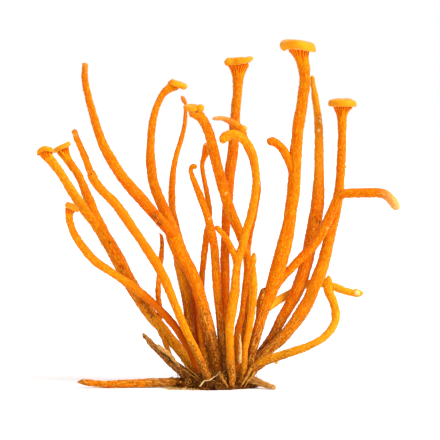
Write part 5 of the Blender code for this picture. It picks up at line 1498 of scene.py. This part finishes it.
def moundShell():
    habit = mattedBase
    segments, rings = habit["segments"], habit["rings"]
    rise = np.linspace(0.0, math.pi / 2, rings + 1)[:-1]
    grid = moundPlace(bearings(segments)[None, :], rise[:, None])
    normals = gridNormals(grid)
    clod = cloud(grid / habit["clodSize"], 301) - 0.5
    crumb = bumps(grid, *habit["crumbSize"], 302)
    grit = cloud(grid / habit["gritSize"], 305) - 0.5
    crease = smoothStep(0.28, 0.0, np.abs(2 * cloud(grid / habit["creaseSize"], 306) - 1.0))
    lift = (habit["clod"] * clod + habit["crumb"] * crumb + habit["grit"] * grit
            - habit["crease"] * crease)
    foot = smoothStep(0.0, habit["flatFoot"], grid[..., 2])
    grid = grid + normals * (lift * (0.25 + 0.75 * foot))[..., None]
    grid[..., 2] = np.where(grid[..., 2] < 0.0, 0.0, grid[..., 2])
    grid[0, :, 2] = 0.0
    points = grid.reshape(-1, 3)
    tone = 0.35 * cloud(points / 1.1, 307) + 0.45 * crumb.reshape(-1) * cloud(points / 2.2, 308)
    points = np.vstack([points, groundPlace(*habit["centre"], 0.0), grid[-1].mean(axis=0)])
    return {"points": points, "faces": closedFaces(rings, segments),
            "marks": {"tone": np.append(tone, (0.1, 0.1))}}


def growBase():
    habit = mattedBase
    chance = np.random.default_rng(habit["seed"])
    smallest, largest = habit["looseSize"]
    shells = [moundShell()]
    for number in range(habit["loose"]):
        bearing = chance.uniform(0, 2 * math.pi)
        rise = chance.uniform(0.0, 1.0) ** 1.4 * 1.35
        size = smallest + (largest - smallest) * chance.uniform(0, 1) ** 2.2
        place = moundPlace(bearing, rise, chance.uniform(-0.1, 0.35))
        radii = size * chance.uniform(0.6, 1.2, 3)
        shells.append(crumbShell(place, radii, chance.uniform(0, 6.28), chance.uniform(0.0, 0.8),
                                 400 + number))
    makePiece("matted_base_crumbs", joined(shells), matSkin, "matted_base")


growBase()
print("base matted")

# Roots, threads and hairs, mm: those woven over the mat, those that climb out of it between the
# feet, and those that lie on the ground to its left.
looseThreads = {
    "seed": 29, "sides": 6, "shortStep": 0.15, "longStep": 0.35,
    "thickFrom": 0.3, "thickSides": 14, "thickRelief": 0.32,
    "thinner": 0.35,                # what is left of the thickness at the end
    "sway": 0.4, "swaySize": 1.6,
    "fibres": 480, "fibreLength": (2.0, 6.0), "fibreThickness": (0.09, 0.34),
    "climbers": 150, "climb": (0.8, 3.4), "climberThickness": (0.07, 0.20),
    "whiskers": 130, "whiskerThickness": (0.06, 0.14),
    "whiskersAcross": (-13.5, -4.5), "whiskersDeep": (-8.6, -2.5),
}

# The threads that are seen singly: what each is, its thickness, how pale, rows (across, up, depth).
seenThreads = [
    ("cream root across the front", 0.36, 0.80,
     [(-5.5, 0.9, -8.6), (-4.9, 1.7, -8.5), (-4.2, 2.5, -8.2), (-3.3, 2.7, -7.9), (-2.3, 2.9, -7.8),
      (-1.5, 3.5, -7.3), (-0.7, 3.9, -6.8), (-0.1, 4.6, -6.2), (0.4, 5.2, -5.8)]),
    ("cream sliver", 0.9, 0.70,
     [(6.0, 7.6, -5.2), (6.05, 9.0, -5.3), (6.1, 11.0, -5.3), (6.05, 13.5, -5.1), (5.95, 16.0, -4.8)]),
    ("pale strip on the stub", 1.2, 0.64,
     [(-17.6, 12.4, -3.0), (-16.4, 11.7, -3.3), (-14.9, 10.5, -3.5), (-13.4, 9.1, -3.6),
      (-12.2, 7.8, -3.6), (-11.2, 6.5, -3.4)]),
    ("orange-brown root in the middle", 1.1, 0.33,
     [(0.3, 4.3, -6.2), (0.9, 3.1, -6.8), (1.6, 2.0, -7.4), (2.5, 0.7, -7.9)]),
    ("tan root under the right feet", 0.9, 0.38,
     [(9.2, 6.0, -4.8), (8.3, 4.2, -5.7), (7.3, 2.5, -6.6), (6.3, 0.9, -7.2)]),
    ("thinner one beside it", 0.55, 0.42,
     [(10.2, 5.0, -4.8), (9.1, 3.4, -5.8), (8.0, 1.9, -6.6), (7.4, 0.8, -7.0)]),
    ("straw root over the left feet", 0.36, 0.44,
     [(-10.8, 8.3, -3.2), (-8.7, 6.0, -4.2), (-6.6, 4.1, -5.2), (-4.8, 2.4, -6.4)]),
    ("brown root below it", 0.42, 0.32,
     [(-10.4, 5.9, -3.6), (-8.4, 4.6, -4.7), (-6.6, 3.2, -5.8), (-5.6, 1.6, -7.0)]),
    ("pale root on the right", 0.30, 0.55,
     [(8.6, 9.4, -4.4), (9.3, 8.9, -4.8), (9.7, 8.2, -5.0), (9.9, 7.2, -5.2)]),
    ("thread over the fallen stem", 0.12, 0.95,
     [(-19.0, 3.0, -3.4), (-17.8, 2.8, -4.1), (-16.6, 1.9, -4.3), (-15.4, 1.4, -4.3)]),
    ("fork of hair on the right", 0.12, 0.45,
     [(9.8, 3.2, -5.8), (10.6, 3.9, -6.2), (11.6, 4.4, -6.4), (12.4, 5.6, -6.4)]),
    ("hair beside it", 0.10, 0.4, [(10.6, 3.9, -6.2), (11.3, 3.6, -6.5), (12.2, 4.0, -6.8)]),
    ("hair under the stub", 0.13, 0.55,
     [(-14.9, 8.2, -3.6), (-15.3, 7.6, -3.9), (-15.4, 6.9, -4.0)]),
    ("hair under the stub's end", 0.13, 0.35,
     [(-18.4, 11.2, -3.7), (-18.8, 10.6, -3.9), (-18.7, 10.0, -4.0)]),
    ("tuft above the fallen stem", 0.22, 0.2,
     [(-12.6, 2.4, -2.6), (-12.2, 3.1, -2.8), (-11.8, 3.6, -2.9)]),
    ("barb on the tall branch", 0.2, 0.05,
     [(-16.7, 46.9, -4.6), (-17.5, 46.9, -4.9), (-18.3, 46.7, -5.0)]),
    ("barb on the bright stroma", 0.2, 0.05,
     [(-29.4, 51.2, -7.6), (-29.9, 51.1, -7.8), (-30.4, 51.0, -7.9)]),
]


def threadShell(places, thickness, tone):
    habit = looseThreads
    thick = thickness >= habit["thickFrom"]
    sides = habit["thickSides"] if thick else habit["sides"]
    step = min(habit["longStep"], max(habit["shortStep"], thickness))
    line, along = evenLine(np.asarray(places), step)
    share = along / along[-1]
    bend = lengthPlaces(along, habit["swaySize"], 3.7 * thickness)
    sway = np.stack([cloud(bend + (0, 0, 5.3 * axis), 88) - 0.5 for axis in range(3)], axis=-1)
    swing = habit["sway"] * min(1.0, 0.4 / thickness)
    centres = line[:, :3] + sway * (swing * np.sin(math.pi * share))[:, None]
    uneven = 0.8 + 0.4 * cloud(lengthPlaces(along, 0.9), int(1000 * thickness))
    radii = thickness / 2 * (1.0 - (1.0 - habit["thinner"]) * share ** 2) * uneven
    tangents = unit(np.gradient(centres, axis=0))
    ways = ringWays(*turnless(tangents), sides)
    grid = centres[:, None] + ways * radii[:, None, None]
    if thick:
        rough = cloud(grid / 0.4, 77) - 0.5
        grid = grid + ways * (habit["thickRelief"] * thickness * rough)[..., None]
    points = np.vstack([grid.reshape(-1, 3), centres[0] - tangents[0] * radii[0] * 0.5,
                        centres[-1] + tangents[-1] * radii[-1]])
    points[:, 2] = np.maximum(points[:, 2], 0.01)
    return {"points": points, "faces": closedFaces(len(centres), sides),
            "marks": {"tone": np.full(len(points), tone)}}


# A thread that wanders over the mat, in and out of it.
def matFibre(chance):
    length = chance.uniform(*looseThreads["fibreLength"])
    bearing = chance.uniform(0, 2 * math.pi)
    rise = chance.uniform(0.0, 1.2)
    heading = chance.uniform(0, 2 * math.pi)
    lift = chance.uniform(0.1, 0.4)
    rows = []
    for _ in range(max(4, int(length / 0.6))):
        rows.append(moundPlace(bearing, rise, lift))
        heading += chance.normal(0, 0.55)
        bearing += 0.065 * math.cos(heading)
        rise = min(1.3, max(0.0, rise + 0.07 * math.sin(heading)))
        lift = min(0.9, max(0.05, lift + chance.normal(0, 0.14)))
    return threadShell(rows, chance.uniform(*looseThreads["fibreThickness"]),
                       0.6 * chance.uniform(0.0, 1.0) ** 1.4)


# A root that climbs out of the mat between the feet.
def climbingRoot(chance):
    bearing = chance.uniform(0, 2 * math.pi)
    start = moundPlace(bearing, chance.uniform(0.35, 1.25), -0.1)
    outward = np.array((math.cos(bearing), math.sin(bearing), 0.0))
    swing = chance.normal(0, 0.9, 3)
    height = chance.uniform(*looseThreads["climb"])
    rows = [start + height * share * (np.array((0, 0, 1.0)) + outward * 0.35)
            + swing * math.sin(3.6 * share) for share in np.linspace(0, 1, 6)]
    return threadShell(rows, chance.uniform(*looseThreads["climberThickness"]),
                       chance.uniform(0.0, 0.6))


# A hair on the ground, led away to the left.
def groundWhisker(chance):
    start = groundPlace(chance.uniform(*looseThreads["whiskersAcross"]),
                        chance.uniform(*looseThreads["whiskersDeep"]), 0.0)
    heading = chance.normal(math.pi, 0.6)
    rows = []
    for _ in range(int(chance.integers(4, 10))):
        rows.append(start + (0, 0, 0.08 + 0.35 * chance.uniform(0, 1) ** 2))
        heading += chance.normal(0, 0.45)
        start = start + np.array((math.cos(heading), 0.7 * math.sin(heading), 0)) * 0.65
    return threadShell(rows, chance.uniform(*looseThreads["whiskerThickness"]),
                       chance.uniform(0.3, 1.0))


def growThreads():
    chance = np.random.default_rng(looseThreads["seed"])
    shells = [threadShell([seenPlace(*row) for row in rows], thickness, tone)
              for _, thickness, tone, rows in seenThreads]
    for grow, key in ((matFibre, "fibres"), (climbingRoot, "climbers"), (groundWhisker, "whiskers")):
        shells += [grow(chance) for _ in range(looseThreads[key])]
    makePiece("mycelium_threads", joined(shells), threadSkin)


growThreads()
print("roots and threads laid")

# Floor, light and camera.
studio = {
    "floorSize": 60.0, "floorColour": (0.93, 0.93, 0.93, 1.0), "floorRoughness": 0.9,
    "behind": 1.0, "fill": 0.84,    # brightness of the white, as seen and as light
    "keyFrom": (0.76, -0.40, 0.64), "keyAngle": math.radians(40), "keyStrength": 3.7,
}


def layFloor():
    half = studio["floorSize"] / 2
    mesh = bpy.data.meshes.new("pale_floor")
    mesh.from_pydata([(-half, -half, 0), (half, -half, 0), (half, half, 0), (-half, half, 0)], [],
                     [(0, 1, 2, 3)])
    material, _ = newMaterial("pale_floor", {"Base Color": studio["floorColour"],
                                             "Roughness": studio["floorRoughness"]})
    mesh.materials.append(material)
    floor = bpy.data.objects.new("pale_floor", mesh)
    bpy.context.scene.collection.objects.link(floor)


# One wide, soft sun from the upper right, so that the floor stays even out to its edge.
def hangKey():
    lamp = bpy.data.lights.new("key_light", "SUN")
    lamp.angle = studio["keyAngle"]
    lamp.energy = studio["keyStrength"]
    holder = bpy.data.objects.new("key_light", lamp)
    holder.location = studio["keyFrom"]
    holder.rotation_euler = (-Vector(studio["keyFrom"])).to_track_quat("-Z", "Y").to_euler()
    bpy.context.scene.collection.objects.link(holder)


def lightWorld():
    world = bpy.data.worlds.new("white_studio")
    world.use_nodes = True
    tree = world.node_tree
    behind = tree.nodes["Background"]
    behind.inputs["Color"].default_value = (1.0, 1.0, 1.0, 1.0)
    seen = addNode(tree, "ShaderNodeLightPath").outputs["Is Camera Ray"]
    strength = weighed(tree, seen, studio["fill"], studio["behind"])
    tree.links.new(strength, behind.inputs["Strength"])
    bpy.context.scene.world = world


def setCamera():
    camera = bpy.data.cameras.new("camera")
    camera.sensor_fit = "HORIZONTAL"
    camera.angle = 2 * math.atan(eye["frameWidth"] / 2 / eye["distance"])
    camera.clip_start = 0.01
    holder = bpy.data.objects.new("camera", camera)
    aim = Vector((eye["seenMiddle"][0] - eye["bunchMiddle"][0], -eye["bunchMiddle"][1],
                  eye["aimHeight"]))
    away = Vector((0.0, -math.cos(eye["rise"]), math.sin(eye["rise"])))
    holder.location = (aim + away * eye["distance"]) * mm
    holder.rotation_euler = (math.pi / 2 - eye["rise"], 0.0, 0.0)
    bpy.context.scene.collection.objects.link(holder)
    bpy.context.scene.camera = holder


layFloor()
hangKey()
lightWorld()
setCamera()
bpy.context.scene.view_settings.view_transform = "Standard"
print("studio set")
